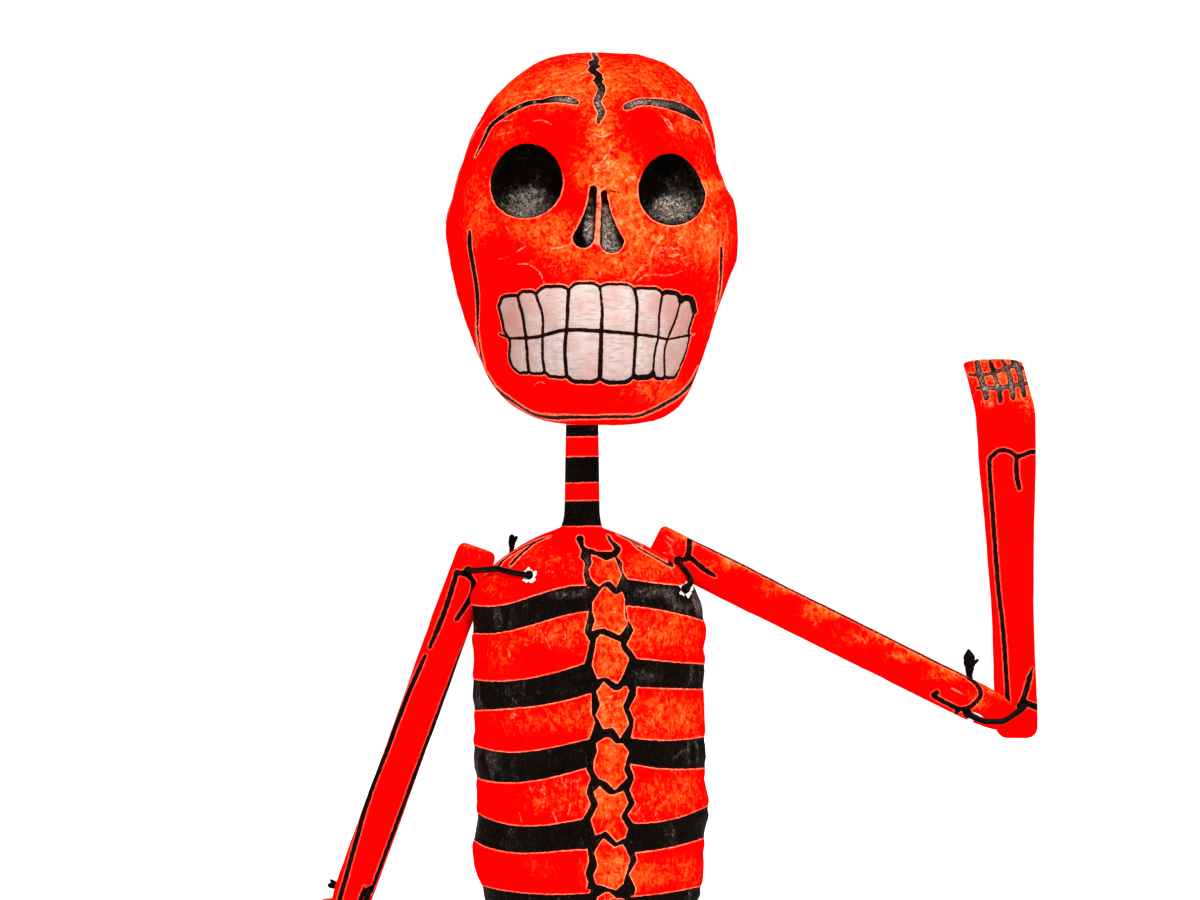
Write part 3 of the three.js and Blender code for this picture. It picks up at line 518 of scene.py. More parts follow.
def skullStation(z):  # half width, shift aside, and reach to the front and the back at each level
    s = skull
    level = z - s["chin"]
    above = level > s["widest"]
    span = np.where(above, s["height"] - s["widest"], s["widest"])
    away = np.minimum(1, np.abs(level - s["widest"]) / span)
    fall = np.hypot(away, s["cheekSoftness"]) - s["cheekSoftness"]
    taper = 1 - np.where(above, s["crownTaper"], s["jawTaper"]) * fall
    half = s["width"] / 2 * taper * np.where(above, rounded(away, 5, 3), rounded(away, 8, 3))
    lean = np.where(above, smooth(0.5, 1, away), smooth(0.7, 1, away))
    shift = s["lean"] * lean - s["dip"] * bump(away, 0.35, 0.2)
    front = s["faceDepth"] * np.where(above, rounded(away, 3.5, 2.2), rounded(away, 9, 3))
    nape = np.where(above, 1, 1 - s["napeTaper"] * away)
    back = s["cranialDepth"] * nape * np.where(above, rounded(away, 2.6, 2), rounded(away, 6, 2.5))
    return half, shift, front, back


def swelling(x, z):
    f = faceRelief
    level, aside = z - skull["chin"], np.abs(x - skull["middle"])
    total = 0
    for name, away in (("muzzle", aside), ("brow", aside), ("nose", x - skull["middle"] - f["noseAside"]),
                       ("cheek", aside - f["cheekSpacing"] / 2)):
        rise, centre, height, reach = f[name]
        total = total + rise * bump(level, centre, height) * bump(away, 0, reach)
    return total


def skullAt(z, angle):
    s = skull
    half, shift, front, back = skullStation(z)
    across = signedPower(np.sin(angle), 2 / s["squareness"])
    along = signedPower(np.cos(angle), 2 / s["squareness"])
    x = s["middle"] + shift + half * across
    facing = smooth(0, 0.5, along) * smooth(0, s["faceDepth"] * 0.6, front)
    y = s["middleY"] - np.where(along > 0, front, back) * along - swelling(x, z) * facing
    return np.stack([x, y, z + 0 * x], axis=-1)


def faceAt(x, z):  # the front of the skull at a place seen from the front
    half, shift = skullStation(z)[:2]
    across = np.clip((x - skull["middle"] - shift) / np.maximum(half, 1e-6), -1, 1)
    return skullAt(z, np.arcsin(signedPower(across, skull["squareness"] / 2)))


def eyeGap(x, z, side):
    aside, level, reachX, reachZ, uneven = eyeSockets[side]
    centre = (skull["middle"] + aside, skull["chin"] + level)
    wave = uneven * np.sin(3 * np.arctan2(z - centre[1], x - centre[0]))
    return ovalGap(x, z, centre, reachX, reachZ) + wave


def nostrilGap(x, z, side):
    top, bottom = ((aside, skull["chin"] + level, radius) for aside, level, radius in nostrils[side])
    return dropGap(x, z, top, bottom)


def pitGap(x, z):  # to the nearest rim of a socket or a nostril
    return least(*(eyeGap(x, z, side) for _, side in bothSides),
                 *(nostrilGap(x, z, side)[0] for _, side in bothSides))


def sunkFace(places):  # the depth that the sockets and the nostrils add
    x, y, z = (places[..., axis] for axis in range(3))
    front = y < skull["middleY"]
    e, v = eyeSockets, nostrils
    for _, side in bothSides:
        aside, level, reachX, reachZ, _ = e[side]
        middle = faceAt(np.array(skull["middle"] + aside), np.array(skull["chin"] + level))[1]
        gap = eyeGap(x, z, side)
        share = np.clip(1 + 2 * gap / (reachX + reachZ), 0, 1)
        bowl = middle + e["wall"] * smooth(0, 0.6, -gap) + (e["depth"] - e["wall"]) * rounded(share, 2, 2)
        y = np.where(front & (gap < 0), np.maximum(y, mix(y, bowl, smooth(0, 0.35, -gap))), y)
    for _, side in bothSides:
        gap, share = nostrilGap(x, z, side)
        radius = mix(v[side][0][2], v[side][1][2], share)
        depth = mix(v["topDepth"], v["bottomDepth"], share) * rounded(1 + gap / radius, 2.5, 2)
        y = np.where(front & (gap < 0), y + depth, y)
    return y


# the brushwork of the face, as seen in the picture plane
faceStrokes = dict(
    leftBrow=((1.3, 2.2, 2.0, 1.4, 1.35, 1.35, 1.4, 1.35, 1.2, 0.95, 0.4), (1, 1), [
        (-6.8, 583.7), (-9.0, 584.5), (-12.8, 584.9), (-16.7, 584.4), (-20.5, 584.0), (-23.1, 583.0),
        (-26.9, 581.0), (-29.5, 579.1), (-32.8, 576.3), (-35.2, 571.3), (-37.0, 567.5),
    ]),
    rightBrow=((1.6, 2.1, 1.95, 2.1, 2.6, 2.9, 3.0, 2.5, 1.6, 0.8, 0.45, 0.4, 0.3), (1, 1), [
        (7.6, 582.4), (8.9, 582.8), (11.5, 583.8), (15.4, 583.9), (19.2, 583.4), (21.8, 582.7),
        (24.3, 581.7), (26.9, 580.2), (29.0, 578.8), (30.2, 577.4), (31.8, 574.6), (33.1, 571.2),
        (34.1, 568.4),
    ]),
    suture=((1.9, 2.0, 2.2, 2.0, 1.9, 1.8, 2.1, 2.2, 2.1, 2.2, 2.1, 2.0, 2.2, 1.4, 0.5), (1, 1), [
        (-2.0, 598.5), (-1.0, 596.7), (-2.4, 595.7), (-1.2, 594.7), (-2.6, 593.4), (-1.1, 592.2),
        (-0.2, 591.2), (-0.6, 590.0), (-0.2, 589.0), (0.6, 587.2), (-0.8, 584.3), (-0.5, 582.9),
        (0.5, 581.0), (-0.3, 578.7), (-0.4, 577.5),
    ]),
    leftCheek=(1.25, (0.7, 0.3), [
        (-38.7, 545.8), (-38.4, 540.7), (-37.6, 536.3), (-36.7, 530.7), (-36.2, 523.6), (-36.2, 515.9),
        (-35.2, 509.4), (-33.4, 504.1),
    ]),
    rightCheek=(1.25, (0.6, 0.4), [
        (35.8, 540.7), (35.8, 534.5), (35.5, 530.1), (34.7, 525.9), (34.0, 521.8),
    ]),
    jaw=(1.75, (0.6, 1.3), [
        (-33.4, 504.1), (-30.4, 499.0), (-21.6, 492.9), (-14.8, 490.9), (-6.8, 490.6), (3.8, 490.9),
        (12.3, 491.5), (21.0, 495.6), (26.4, 500.0), (29.6, 505.4),
    ]),
)
sutureSpurs = [
    [(-1.6, 596.0), (-3.5, 595.9)], [(-1.2, 597.2), (0.1, 596.9)], [(-1.4, 594.9), (0.3, 594.3)],
    [(-1.8, 593.8), (-3.8, 593.3)], [(-0.6, 591.6), (1.0, 590.3)], [(-0.6, 590.4), (-2.1, 589.9)],
]

teeth = dict(
    lineWidths=[0.85, 0.9, 0.8, 1.05, (0.7, 0.9, 1.5), 0.95, 0.7, 0.65, 0.75],  # from left to right
    biteWidths=(0.8, 0.9, 1.1, 1.1, 0.9, 0.7, 0.7),
    left=[(-29.9, 523.6), (-29.0, 519.4), (-28.4, 516.2), (-26.9, 513.5), (-26.9, 508.8),
          (-26.0, 505.8), (-24.2, 503.9)],
    gaps=[
        [(-24.2, 526.5), (-22.8, 520.9), (-21.9, 514.7), (-21.6, 510.9), (-21.0, 504.2)],
        [(-18.9, 527.1), (-16.9, 520.6), (-16.9, 514.7), (-16.9, 508.2), (-16.3, 504.2)],
        [(-9.2, 528.3), (-9.8, 517.1), (-10.3, 510.9), (-9.8, 502.9)],
        [(-0.1, 529.2), (0.6, 523.3), (0.4, 516.2), (0.0, 502.2)],
        [(10.1, 528.6), (10.9, 523.9), (10.6, 515.3), (10.3, 509.7), (9.9, 503.0)],
        [(18.3, 527.4), (17.4, 520.6), (17.2, 514.7), (16.3, 510.6), (15.7, 503.8)],
        [(23.7, 525.1), (22.2, 519.4), (20.1, 513.8), (19.2, 509.7), (19.2, 502.8)],
    ],
    right=[(27.8, 522.0), (26.2, 516.5), (26.3, 513.8), (24.5, 507.6), (22.8, 503.5)],
    tops=[526.6, 527.9, 529.4, 530.3, 530.0, 528.8, 527.6, 526.0],
    bottoms=[503.9, 503.7, 502.7, 501.2, 501.0, 502.5, 502.2, 502.4],
    topWidths=[1.1, 1.0, 1.0, 0.9, 0.8, 0.95, 1.5, 2.0],
    bottomWidths=[1.05, 1.0, 1.05, 1.3, 1.3, 1.7, 1.1, 1.05],
    bite=[(-29.9, 515.3), (-26.9, 514.1), (-23.7, 514.1), (-18.9, 514.4), (-16.3, 515.0),
          (-9.8, 516.5), (0.0, 516.2), (10.1, 515.3), (16.9, 514.4), (20.1, 513.8),
          (25.1, 514.7), (27.8, 515.3)],
)


def toothEnd(a, b, peak, lift):  # the rounded end of one tooth, from side to side
    bend = 0.2 * lift
    return [a, (mix(a[0], b[0], 0.2), mix(a[1], peak, 0.75) + bend), (mix(a[0], b[0], 0.5), peak),
            (mix(a[0], b[0], 0.8), mix(b[1], peak, 0.75) + bend), b]


def teethPaint(x, z):
    t = teeth
    sides = [t["left"], *t["gaps"], t["right"]]
    strokes = [(width, (1, 1), side) for side, width in zip(sides, t["lineWidths"])]
    strokes.append((t["biteWidths"], (0.8, 0.8), t["bite"]))
    edges = []
    for end, word, lift in ((0, "top", 1), (-1, "bottom", -1)):
        ends = [toothEnd(a[end], b[end], peak, lift) for a, b, peak in zip(sides, sides[1:], t[word + "s"])]
        strokes += [(width, (0.9, 0.9), line) for line, width in zip(ends, t[word + "Widths"])]
        edges.append([place for line in ends for place in smoothLine(line, 4)])
    ring = [*edges[0], *t["right"], *edges[1][::-1], *t["left"][::-1]]
    return strokesGap(x, z, strokes), areaGap(x, z, ring)


# where the head shows orange: thin paint, and painted highlight where the light falls
skullThinAndLit = [
    (-27, 574.5, 7, 2.4, 0.5), (-37.5, 557, 2.5, 6, 0.2), (6, 591, 28, 9, 0.68), (-14, 588, 15, 7, 0.45),
    (0, 573, 7, 9, 0.8), (1, 562, 10, 6, 0.8), (27, 578, 9, 8, 0.65), (19, 544, 17, 6, 0.95),
    (-18, 547.8, 14, 4.5, 0.88), (33, 545, 6, 12, 0.7), (2, 535, 19, 5, 0.7), (18, 499, 10, 5, 0.8),
    (-35, 556, 5, 9, 0.5), (-12, 541, 9, 5, 0.6), (-30, 570, 6, 7, 0.22), (31, 560, 6, 8, 0.5),
    (-27, 584, 10, 5, 0.5), (-38, 545, 4, 8, 0.4), (8, 549, 5, 6, 0.8), (8, 558, 5, 8, 0.85),
    (34, 559.3, 5, 1.2, 1.0), (-0.8, 549, 1.2, 8, 0.6), (-34, 525, 3, 14, 0.15), (33, 520, 4, 12, 0.35),
]

# folds in the paper of the face, in the picture plane, raised and painted with a pale highlight line
faceFolds = [
    [(-31.3, 576.9), (-29.1, 578.1), (-25.0, 578.8)], [(-31.1, 573.6), (-28.3, 574.6), (-24.6, 574.8)],
    [(-20.3, 578.2), (-17.3, 578.5), (-14.4, 577.3)], [(-35.1, 562.5), (-34.1, 561.8), (-32.7, 561.6)],
    [(-34.5, 559.7), (-33.5, 559.1), (-32.2, 559.0)], [(-36.4, 558.1), (-35.3, 556.5), (-34.1, 555.7)],
    [(-35.8, 555.7), (-35.2, 554.1), (-33.5, 553.4), (-31.7, 553.4)],
    [(-37.6, 553.6), (-35.9, 552.2), (-33.9, 551.8)], [(-37.8, 549.4), (-36.3, 548.2)],
    [(-35.5, 548.6), (-32.3, 548.8)], [(-12.3, 552.6), (-11.9, 550.6), (-10.9, 549.7)],
    [(-24.7, 539.6), (-23.3, 540.6), (-22.1, 541.2)], [(30.8, 550.2), (32.8, 550.3), (35.3, 549.8)],
    [(30.6, 547.9), (32.4, 546.1), (34.3, 544.5)], [(32.0, 547.7), (34.3, 546.3)],
    [(37.7, 549.4), (37.3, 545.3), (36.5, 542.9), (36.3, 537.6)],
    [(19.4, 545.7), (17.8, 543.3), (15.8, 540.8), (14.9, 538.0)],
    [(15.8, 538.6), (19.0, 538.6), (21.4, 538.2), (23.1, 539.0), (25.1, 538.2), (27.5, 538.4)],
    [(22.7, 543.3), (23.9, 543.7), (25.1, 545.3)],
    [(-45.2, 548.2), (-42.8, 557.7), (-38.2, 572.3), (-33.7, 579.8)], [(23.1, 580.5), (23.8, 579.4)],
    [(24.6, 580.0), (24.7, 577.9), (24.3, 576.6)], [(24.6, 576.9), (26.4, 576.0), (28.2, 576.6)],
    [(18.8, 578.7), (21.8, 574.6)], [(30.4, 548.3), (33.3, 546.4), (36.3, 544.1)],
    [(32.7, 550.3), (35.6, 547.7)], [(10.8, 530.9), (14.0, 532.8), (20.4, 532.8), (25.6, 534.8)],
    [(9.5, 531.5), (12.0, 534.8), (14.6, 536.1)], [(17.9, 579.9), (20.4, 578.0), (21.7, 575.4)],
    [(-2.2, 564.4), (0.4, 563.1), (4.9, 566.4)], [(-0.2, 534.8), (0.4, 530.9)],
    [(-25.1, 553.5), (-23.7, 551.3), (-22.0, 550.1)], [(-15.3, 540.6), (-10.8, 541.1), (-6.2, 543.5)],
    [(-24.5, 536.0), (-21.2, 535.9), (-18.0, 533.7), (-16.5, 530.4)], [(-30.2, 537.4), (-27.0, 538.1)],
    [(-4.1, 566.0), (-1.0, 565.0), (1.6, 567.6), (3.5, 571.0)],
    [(-3.0, 575.6), (0.4, 573.5), (3.4, 574.8)], [(7.1, 560.5), (9.5, 561.6), (10.8, 558.8)],
    [(14.8, 500.6), (16.4, 502.0), (18.4, 500.7)], [(17.0, 499.5), (19.0, 501.2), (21.2, 500.5)],
    [(9.5, 499.3), (13.2, 498.4), (15.6, 496.0)], [(-19.8, 499.8), (-17.8, 501.2), (-15.9, 500.4)],
    [(28.0, 545.6), (31.2, 544.2), (33.0, 541.8)],
]

# thin dark cracks and steps in the paper
faceCracks = [
    [(2.7, 557.9), (4.4, 557.3), (7.0, 556.9)],
    [(-29.2, 586.6), (-26.6, 588.9), (-23.7, 591.0), (-20.7, 593.0), (-16.6, 596.0)],
]

# where the ink of the face shows grey: worn ink, and painted sheen of the light on the glossy ink
skullWornAndSheen = [
    (-10, 584.5, 5, 2.5, 0.75), (10.5, 583.3, 4, 2.5, 0.8), (18, 583.3, 6, 2, 0.5),
    (25, 581.5, 3, 2, 0.3), (0, 583, 3, 5.5, 0.65), (-24, 582.5, 0.9, 1, 0.7), (-28, 580.3, 0.9, 1, 0.7),
    (-19.5, 584, 0.8, 1, 0.6),
]
# painted reflection of the light on the lower walls of the sockets and in the nostrils
pitSheen = [
    (-21.6, 551.3, 8.5, 5.5, 0.75), (-19.8, 556.5, 5, 3.5, 0.45), (21.6, 550.3, 9.5, 4, 0.5),
    (25, 554, 5.5, 4, 0.42), (20, 553.2, 4, 3, 0.55), (23.5, 560, 7, 5, 0.22),
    (-3.1, 546, 1.3, 3.6, 1.5), (-5.4, 539.8, 1, 0.8, 1.1), (-3, 553.4, 1.2, 3, 0.6),
    (-2.3, 558, 1, 1.2, 0.5), (2.4, 545.5, 2.2, 4.5, 1.45), (3.8, 541, 2.3, 1.6, 1.2),
    (1.8, 551.4, 1.5, 4, 0.8), (-33.4, 559.5, 0.6, 0.6, 1.2),
]

# level, and how far the left and the right edge of the head stand out there
skullSides = [
    (490, -0.5, -0.5), (498, 0.0, -0.9), (506, 0.5, -0.9), (523, 0.4, -0.8), (531, 0.3, -0.2),
    (537, 0.3, 0.7), (541, 0.3, 0.1), (545, 0.0, -0.3), (551, -0.3, 0.1), (555, 0.6, 0.4),
    (558, 0.6, -0.6), (566, 0.7, -1.0), (573, 0.0, 0.2), (580, -0.6, 0.6), (584, -0.6, 1.0),
    (588, 0.1, 0.9), (593, 0.7, 1.4), (597, 0.2, 1.2), (599, 0.0, 0.6),
]


def skullGrid():  # rows of points round the head, crisp at the rims, with the level and the angle of each
    s = skull
    away = -np.cos(math.pi * np.linspace(0.012, 0.988, s["rows"]))
    levels = s["chin"] + s["widest"] + away * np.where(away > 0, s["height"] - s["widest"], s["widest"])
    front = np.linspace(-quarter, quarter, s["frontColumns"], endpoint=False)
    back = np.linspace(quarter, 3 * quarter, s["backColumns"], endpoint=False)
    z, angle = np.meshgrid(levels, np.concatenate([front, back]), indexing="ij")
    places = skullAt(z, angle)
    pulled = faceAt(*pulledToEdge(places[..., 0], places[..., 2], pitGap, s["rimReach"]))
    onFace = (np.cos(angle) > 0.02) & (np.abs(places[..., 2] - s["chin"] - 60) < 45)
    places = np.where(onFace[..., None], pulled, places)
    places[..., 1] = sunkFace(places)
    return places, z, angle


def skullInk(p, steep, x, z, pit, cracks, toothInk):
    ink = least(strokesGap(x, z, faceStrokes.values()), cracks, toothInk,
                strokesGap(x, z, [((1.6, 0.3), (1, 1), spur) for spur in sutureSpurs]))
    ink = np.where(ink > 0, ink / steep, ink + 0.45 * smooth(0.5, 0.2, steep))
    return least(np.where(p[:, 1] < skull["middleY"] - skull["faceStart"], ink, far), crownPaint(p), pit)


def makeSkull():
    s = skull
    places, level, angle = skullGrid()
    pitAt = pitGap(capped(places[..., 0]), capped(places[..., 2]))
    places[..., 0] += sideShift(level, np.sin(angle), skullSides)
    piece = skinFrom("skull", places)
    p, n = placesOf(piece), normalsOf(piece)
    x, z = asSeen(p)
    pit = np.where(p[:, 1] < s["middleY"], pitAt, far)
    facing = p[:, 1] < s["middleY"] - s["faceStart"]
    clear = smooth(0.2, 2.5, pit)  # the rims stay clean
    drawn = foldGap(x, z, faceFolds)
    folds = creases(p, 9, 21) * smooth(0.0, 0.5, fractal(p, 14, 25))
    folds = folds + 0.7 * creases(p, 5, 31) * smooth(0.1, 0.6, fractal(p, 11, 35))
    folds = np.minimum(folds + 1.2 * smooth(0.9, 0, drawn), 1) * clear
    height = pastedSkin(p, s, folds, 11)
    wrinkles = creases(p * point(0.8, 1, 1.3), 3.4, 71, 4.5)
    inPits = s["pitLumps"] * np.abs(fractal(p, 2.6, 61)) + s["pitWrinkles"] * wrinkles
    height = height * mix(0.25, 1, clear) + inPits * smooth(-0.5, -1.5, pit)
    middle = point(s["middle"], s["middleY"], s["chin"] + s["widest"])
    for direction, depth in skullFacets:
        reach = (p - middle) @ unit(point(*direction))
        flat = reach.max() - depth
        height = height - np.maximum(0, reach - flat) * smooth(0.7, 0.95, n @ unit(point(*direction)))
    toothInk, toothArea = teethPaint(x, z)
    toothArea = np.where(facing, toothArea, far)
    moveOut(piece, height + s["teeth"] * smooth(0.1, 1.4, -toothArea) * smooth(0, 1, toothInk) * facing)
    cracks = foldGap(x, z, faceCracks) - 0.13
    steep = np.clip(-n[:, 1], 0.2, 1)  # strokes that run round the side keep their width there
    drawn = np.where(drawn > 0, drawn / steep ** 2, drawn)
    # painted reflection in the sockets and the nostrils, stronger in the nostrils near the middle
    pitGrey = spotsOf(x, z, pitSheen) * mix(0.85, 1.5, wrinkles) * (1 + 0.45 * smooth(10, 8, np.abs(x)))
    skinGrey = spotsOf(x, z, skullWornAndSheen) * (pit > 0)
    # the teeth get painted shade towards the sides
    mark(piece, ink=skullInk(p, steep, x, z, pit, cracks, toothInk), white=toothArea,
         stain=mix(*s["toothSideShade"], smooth(*s["biteLevels"], z)) * smooth(*s["stained"], np.abs(x + 1)),
         thin=spotsOf(x, z, skullThinAndLit) * facing + s["thinBehind"] * (1 - facing),
         fold=np.where(facing, drawn, far), grey=np.where(pit < -0.3, pitGrey, skinGrey) * facing,
         bare=most(smooth(557, 565, z) * smooth(3, 2, pit), smooth(1.2, 0.9, cracks)))
    return piece


# the seams on the top and the back of the head: half widths, and how far they reach
crownSeams = dict(across=0.55, along=0.8, lower=0.75, acrossAbove=583, alongAbove=560, lowerReach=27)


def crownPaint(p):
    s = crownSeams
    x, y, z = p.T
    wave = 0.7 * np.sin(x * 0.9) + 0.5 * noise(p, 3, 41)
    line = -2.5 - 5.5 * smooth(8, 22, np.abs(x - 1))
    across = np.where(z > s["acrossAbove"], np.abs(y - line - wave) - s["across"], far)
    zigzag = (1.3 * np.sin(y * 1.25) + 0.8 * np.sin(y * 0.55 + 1)) * smooth(-4, 4, y)
    along = np.where((y > -4) & (z > s["alongAbove"]), np.abs(x + 1.2 - zigzag) - s["along"], far)
    branch = 559 - 0.75 * (np.abs(x) - 1) + 1.4 * np.sin(x * 0.95)
    within = (y > 12) & (np.abs(x) < s["lowerReach"])
    lower = np.where(within, np.abs(z - branch) * 0.8 - s["lower"], far)
    return least(across, along, lower)


# The torso

torso = dict(
    middle=-3.2, turn=13, bottom=284.2, neckLevel=458.2, top=498.2,
    chestWidth=68.2, chestDepth=47.0, shoulderDrop=23.7, ribsHeight=78.0,
    waistWidth=39.0, waistDepth=31.0, waistLevel=38.6,
    hipWidth=60.0, hipDepth=40.0, hipLevel=16.4, squareness=2.5,
    neckWidth=9.6, neckFlare=0.5, neckLength=30.2, neckOffset=-2.1, neckFoot=0.8,
    pelvisRows=26, bodyRows=252, shoulderRows=50, neckRows=32,
    frontColumns=190, backColumns=80, middleDensity=0.42,  # more columns beside the spine
    ribSwell=0.45, lumps=((0.3, 18, 0), (0.09, 6, 4)), folds=0.13, thin=0.92, thinBehind=0.25,
    holeDepth=3.0, chestTorn=2.0, hipTorn=1.6, ribsStart=(348, 352), ribsEnd=(452, 438), neckCalm=(462, 452),
    clearance=0.35,  # between the skin and a limb
)

# upper and lower edge of each black band, at places across the chest
ribBands = dict(
    leftAt=(-37, -27, -17, -4),
    left=[
        ((434.9, 435.5, 438.6, 440.8), (426.9, 427.6, 430.3, 433.4)),
        ((413.0, 412.6, 414.1, 417.9), (404.1, 404.6, 405.7, 408.7)),
        ((393.5, 391.5, 392.3, 395.2), (384.3, 382.7, 383.7, 387.1)),
        ((373.9, 370.1, 369.8, 371.9), (365.4, 362.2, 362.1, 363.0)),
        ((352.6, 350.3, 349.4, 349.7), (344.2, 342.2, 341.4, 341.2)),
    ],
    rightAt=(9, 20, 31),
    right=[
        ((442.6, 441.2, 440.0), (435.0, 433.4, 430.6)),
        ((419.4, 418.3, 417.6), (411.1, 410.6, 410.3)),
        ((395.8, 395.0, 396.1), (388.3, 386.8, 387.0)),
        ((370.6, 371.3, 375.2), (362.0, 363.4, 366.4)),
        ((348.7, 350.0, 352.0), (341.0, 341.8, 343.4)),
    ],
    waist=(335.0, 307.5),
    overlap=1.2,  # how far the bands run under the stripe of the spine
)

# the spine: red tiles on a black stripe with wavy edges, in the picture plane
spine = dict(
    top=450.9, bottom=305.5, pitch=45.6,  # the lowest three tiles repeat the ones above
    tiles=[
        [(-2.9, 442.9), (-3.5, 445.6), (-2.4, 447.4), (-2.9, 450.1), (1.5, 449.3), (4.3, 449.5),
         (5.2, 447.1), (6.5, 443.9), (4.8, 440.1), (3.0, 442.0), (1.3, 441.9), (-0.4, 440.4)],
        [(-2.7, 427.4), (-1.6, 430.4), (-2.3, 433.2), (-2.2, 436.1), (0.5, 440.1), (1.6, 440.8),
         (3.8, 438.5), (4.9, 438.3), (6.8, 439.3), (7.7, 436.7), (7.2, 432.3), (8.2, 429.5),
         (5.8, 426.1), (1.1, 428.3)],
        [(-2.5, 417.4), (-1.1, 425.3), (0.2, 426.7), (5.9, 424.3), (6.5, 422.0), (8.7, 419.4),
         (6.5, 413.8), (5.0, 411.6), (1.9, 413.8), (-0.9, 413.3)],
        [(-1.4, 402.6), (0.0, 405.6), (-1.1, 409.5), (0.9, 412.6), (4.1, 409.9), (5.8, 410.1),
         (7.7, 411.6), (8.7, 409.8), (6.7, 405.3), (8.5, 400.0), (5.8, 395.6), (3.8, 398.9),
         (0.9, 398.4)],
        [(-2.0, 388.6), (-0.9, 391.9), (-1.2, 394.4), (2.2, 396.5), (4.6, 394.3), (6.8, 394.2),
         (8.7, 391.6), (7.0, 386.6), (8.0, 384.1), (4.3, 380.4), (1.5, 383.1), (-0.4, 383.6),
         (-1.9, 386.1)],
        [(-2.9, 371.5), (-0.6, 376.2), (-2.1, 380.0), (-0.1, 381.7), (2.1, 379.4), (3.6, 379.0),
         (6.9, 380.3), (8.3, 376.8), (6.1, 372.5), (8.3, 369.0), (7.6, 366.4), (4.7, 365.0),
         (1.7, 368.3), (-1.4, 367.0)],
        [(-2.1, 355.1), (-0.9, 358.3), (-1.8, 361.8), (-0.6, 364.4), (0.9, 366.2), (4.2, 363.6),
         (6.7, 364.6), (9.0, 360.1), (6.7, 352.7), (4.5, 350.9), (-1.4, 352.7)],
    ],
    left=[
        (-6.9, 454.4), (-5.3, 451.7), (-5.9, 449.1), (-4.4, 447.6), (-4.9, 443.7), (-4.0, 441.0),
        (-3.3, 433.4), (-4.6, 427.2), (-3.0, 424.3), (-4.5, 417.6), (-2.5, 408.9), (-2.5, 403.2),
        (-1.5, 400.5), (-3.1, 395.4), (-4.0, 386.6), (-2.8, 383.9), (-4.1, 379.9), (-2.7, 376.2),
        (-5.1, 371.8), (-3.7, 363.0), (-3.3, 359.5), (-4.4, 355.9), (-3.6, 353.3), (-4.3, 350.1)],
    right=[
        (4.8, 452.6), (5.8, 451.7), (4.6, 449.6), (6.4, 447.9), (6.5, 444.8), (8.2, 442.8),
        (7.6, 433.2), (8.4, 430.4), (9.9, 427.8), (7.7, 423.4), (11.0, 419.3), (10.8, 411.2),
        (10.6, 408.6), (8.4, 404.4), (9.9, 401.2), (9.1, 396.2), (8.8, 387.5), (10.0, 383.7),
        (8.5, 380.6), (10.2, 376.6), (8.0, 373.1), (9.6, 370.8), (10.1, 362.3), (10.7, 359.5),
        (8.4, 355.6), (10.2, 351.5), (10.0, 348.5)],
    crown=[(-5.9, 454.6), (-5.3, 452.5), (-4.1, 451.1), (-2.2, 450.9), (0.0, 449.8), (2.0, 449.0),
           (3.7, 450.0), (5.2, 451.6), (3.5, 453.7), (2.4, 455.5)],
    notch=[(-4.7, 441.7), (-2.9, 439.9)],
    crownWidths=(1.9, 1.2, 1.7, 1.2, 1.15, 1.2, 1.7, 1.9, 1.2, 0.9),
)

# level, and how far the left and the right edge of the torso stand out there
torsoSides = [
    (340, 0.0, 0.0), (346, 0.6, 0.1), (350, 1.1, 0.5), (354, 1.7, -0.5), (359, 0.5, -0.4),
    (362, 0.1, -0.6), (366, -0.2, 0.0), (369, 0.2, 0.7), (373, 0.9, 1.6), (377, 1.5, 0.7),
    (380, 1.5, 0.0), (384, 0.7, -0.8), (387, -0.4, 0.3), (390, -0.8, 1.1), (394, -0.3, 0.8),
    (398, 0.6, 0.0), (402, 0.5, -0.3), (408, -0.6, -0.5), (412, -0.5, 0.3), (416, 0.3, 0.6),
    (419, 0.6, 0.0), (422, 0.6, -0.8), (426, 0.0, 0.0), (433, 0.0, 0.5), (440, 0.0, 0.0),
]

# fold lines on the torso, painted as pale highlight lines with a slight bump
torsoFolds = [
    [(-17.5, 427.6), (-15.6, 424.4), (-14.4, 421.6)], [(-27.0, 422.5), (-26.4, 419.0)],
    [(-20.9, 381.9), (-19.8, 379.1)], [(-14.4, 374.6), (-12.8, 371.2), (-12.2, 368.2)],
    [(15.5, 374.8), (17.0, 371.5), (18.3, 368.6)], [(21.9, 374.4), (23.5, 371.2)],
    [(-35.3, 442.8), (-31.6, 445.6), (-29.6, 446.8)], [(-30.6, 409.0), (-27.0, 407.4)],
    [(0.3, 409.4), (2.4, 407.9), (5.1, 409.0)], [(-0.3, 407.0), (2.6, 406.2), (6.4, 407.2)],
    [(0.6, 404.9), (3.4, 404.4), (5.6, 405.8)], [(1.6, 402.8), (4.2, 402.5)],
    [(3.6, 398.0), (6.6, 397.0)], [(2.1, 392.7), (5.6, 393.4)],
    [(0.8, 431.5), (4.0, 433.2), (6.3, 432.0)], [(-24.0, 374.3), (-23.0, 371.0)],
    [(-8.6, 376.6), (-9.6, 372.9)], [(24.1, 436.7), (27.0, 433.6)], [(-6.8, 404.0), (-5.2, 400.4)],
    [(13.5, 431.0), (14.5, 427.0), (13.8, 424.0)], [(22.6, 424.0), (25.8, 421.4)],
    [(12.5, 404.0), (15.2, 401.3), (16.0, 398.6)], [(2.2, 356.8), (4.6, 355.3), (6.6, 356.4)],
    [(0.6, 354.6), (3.6, 353.2)],
]

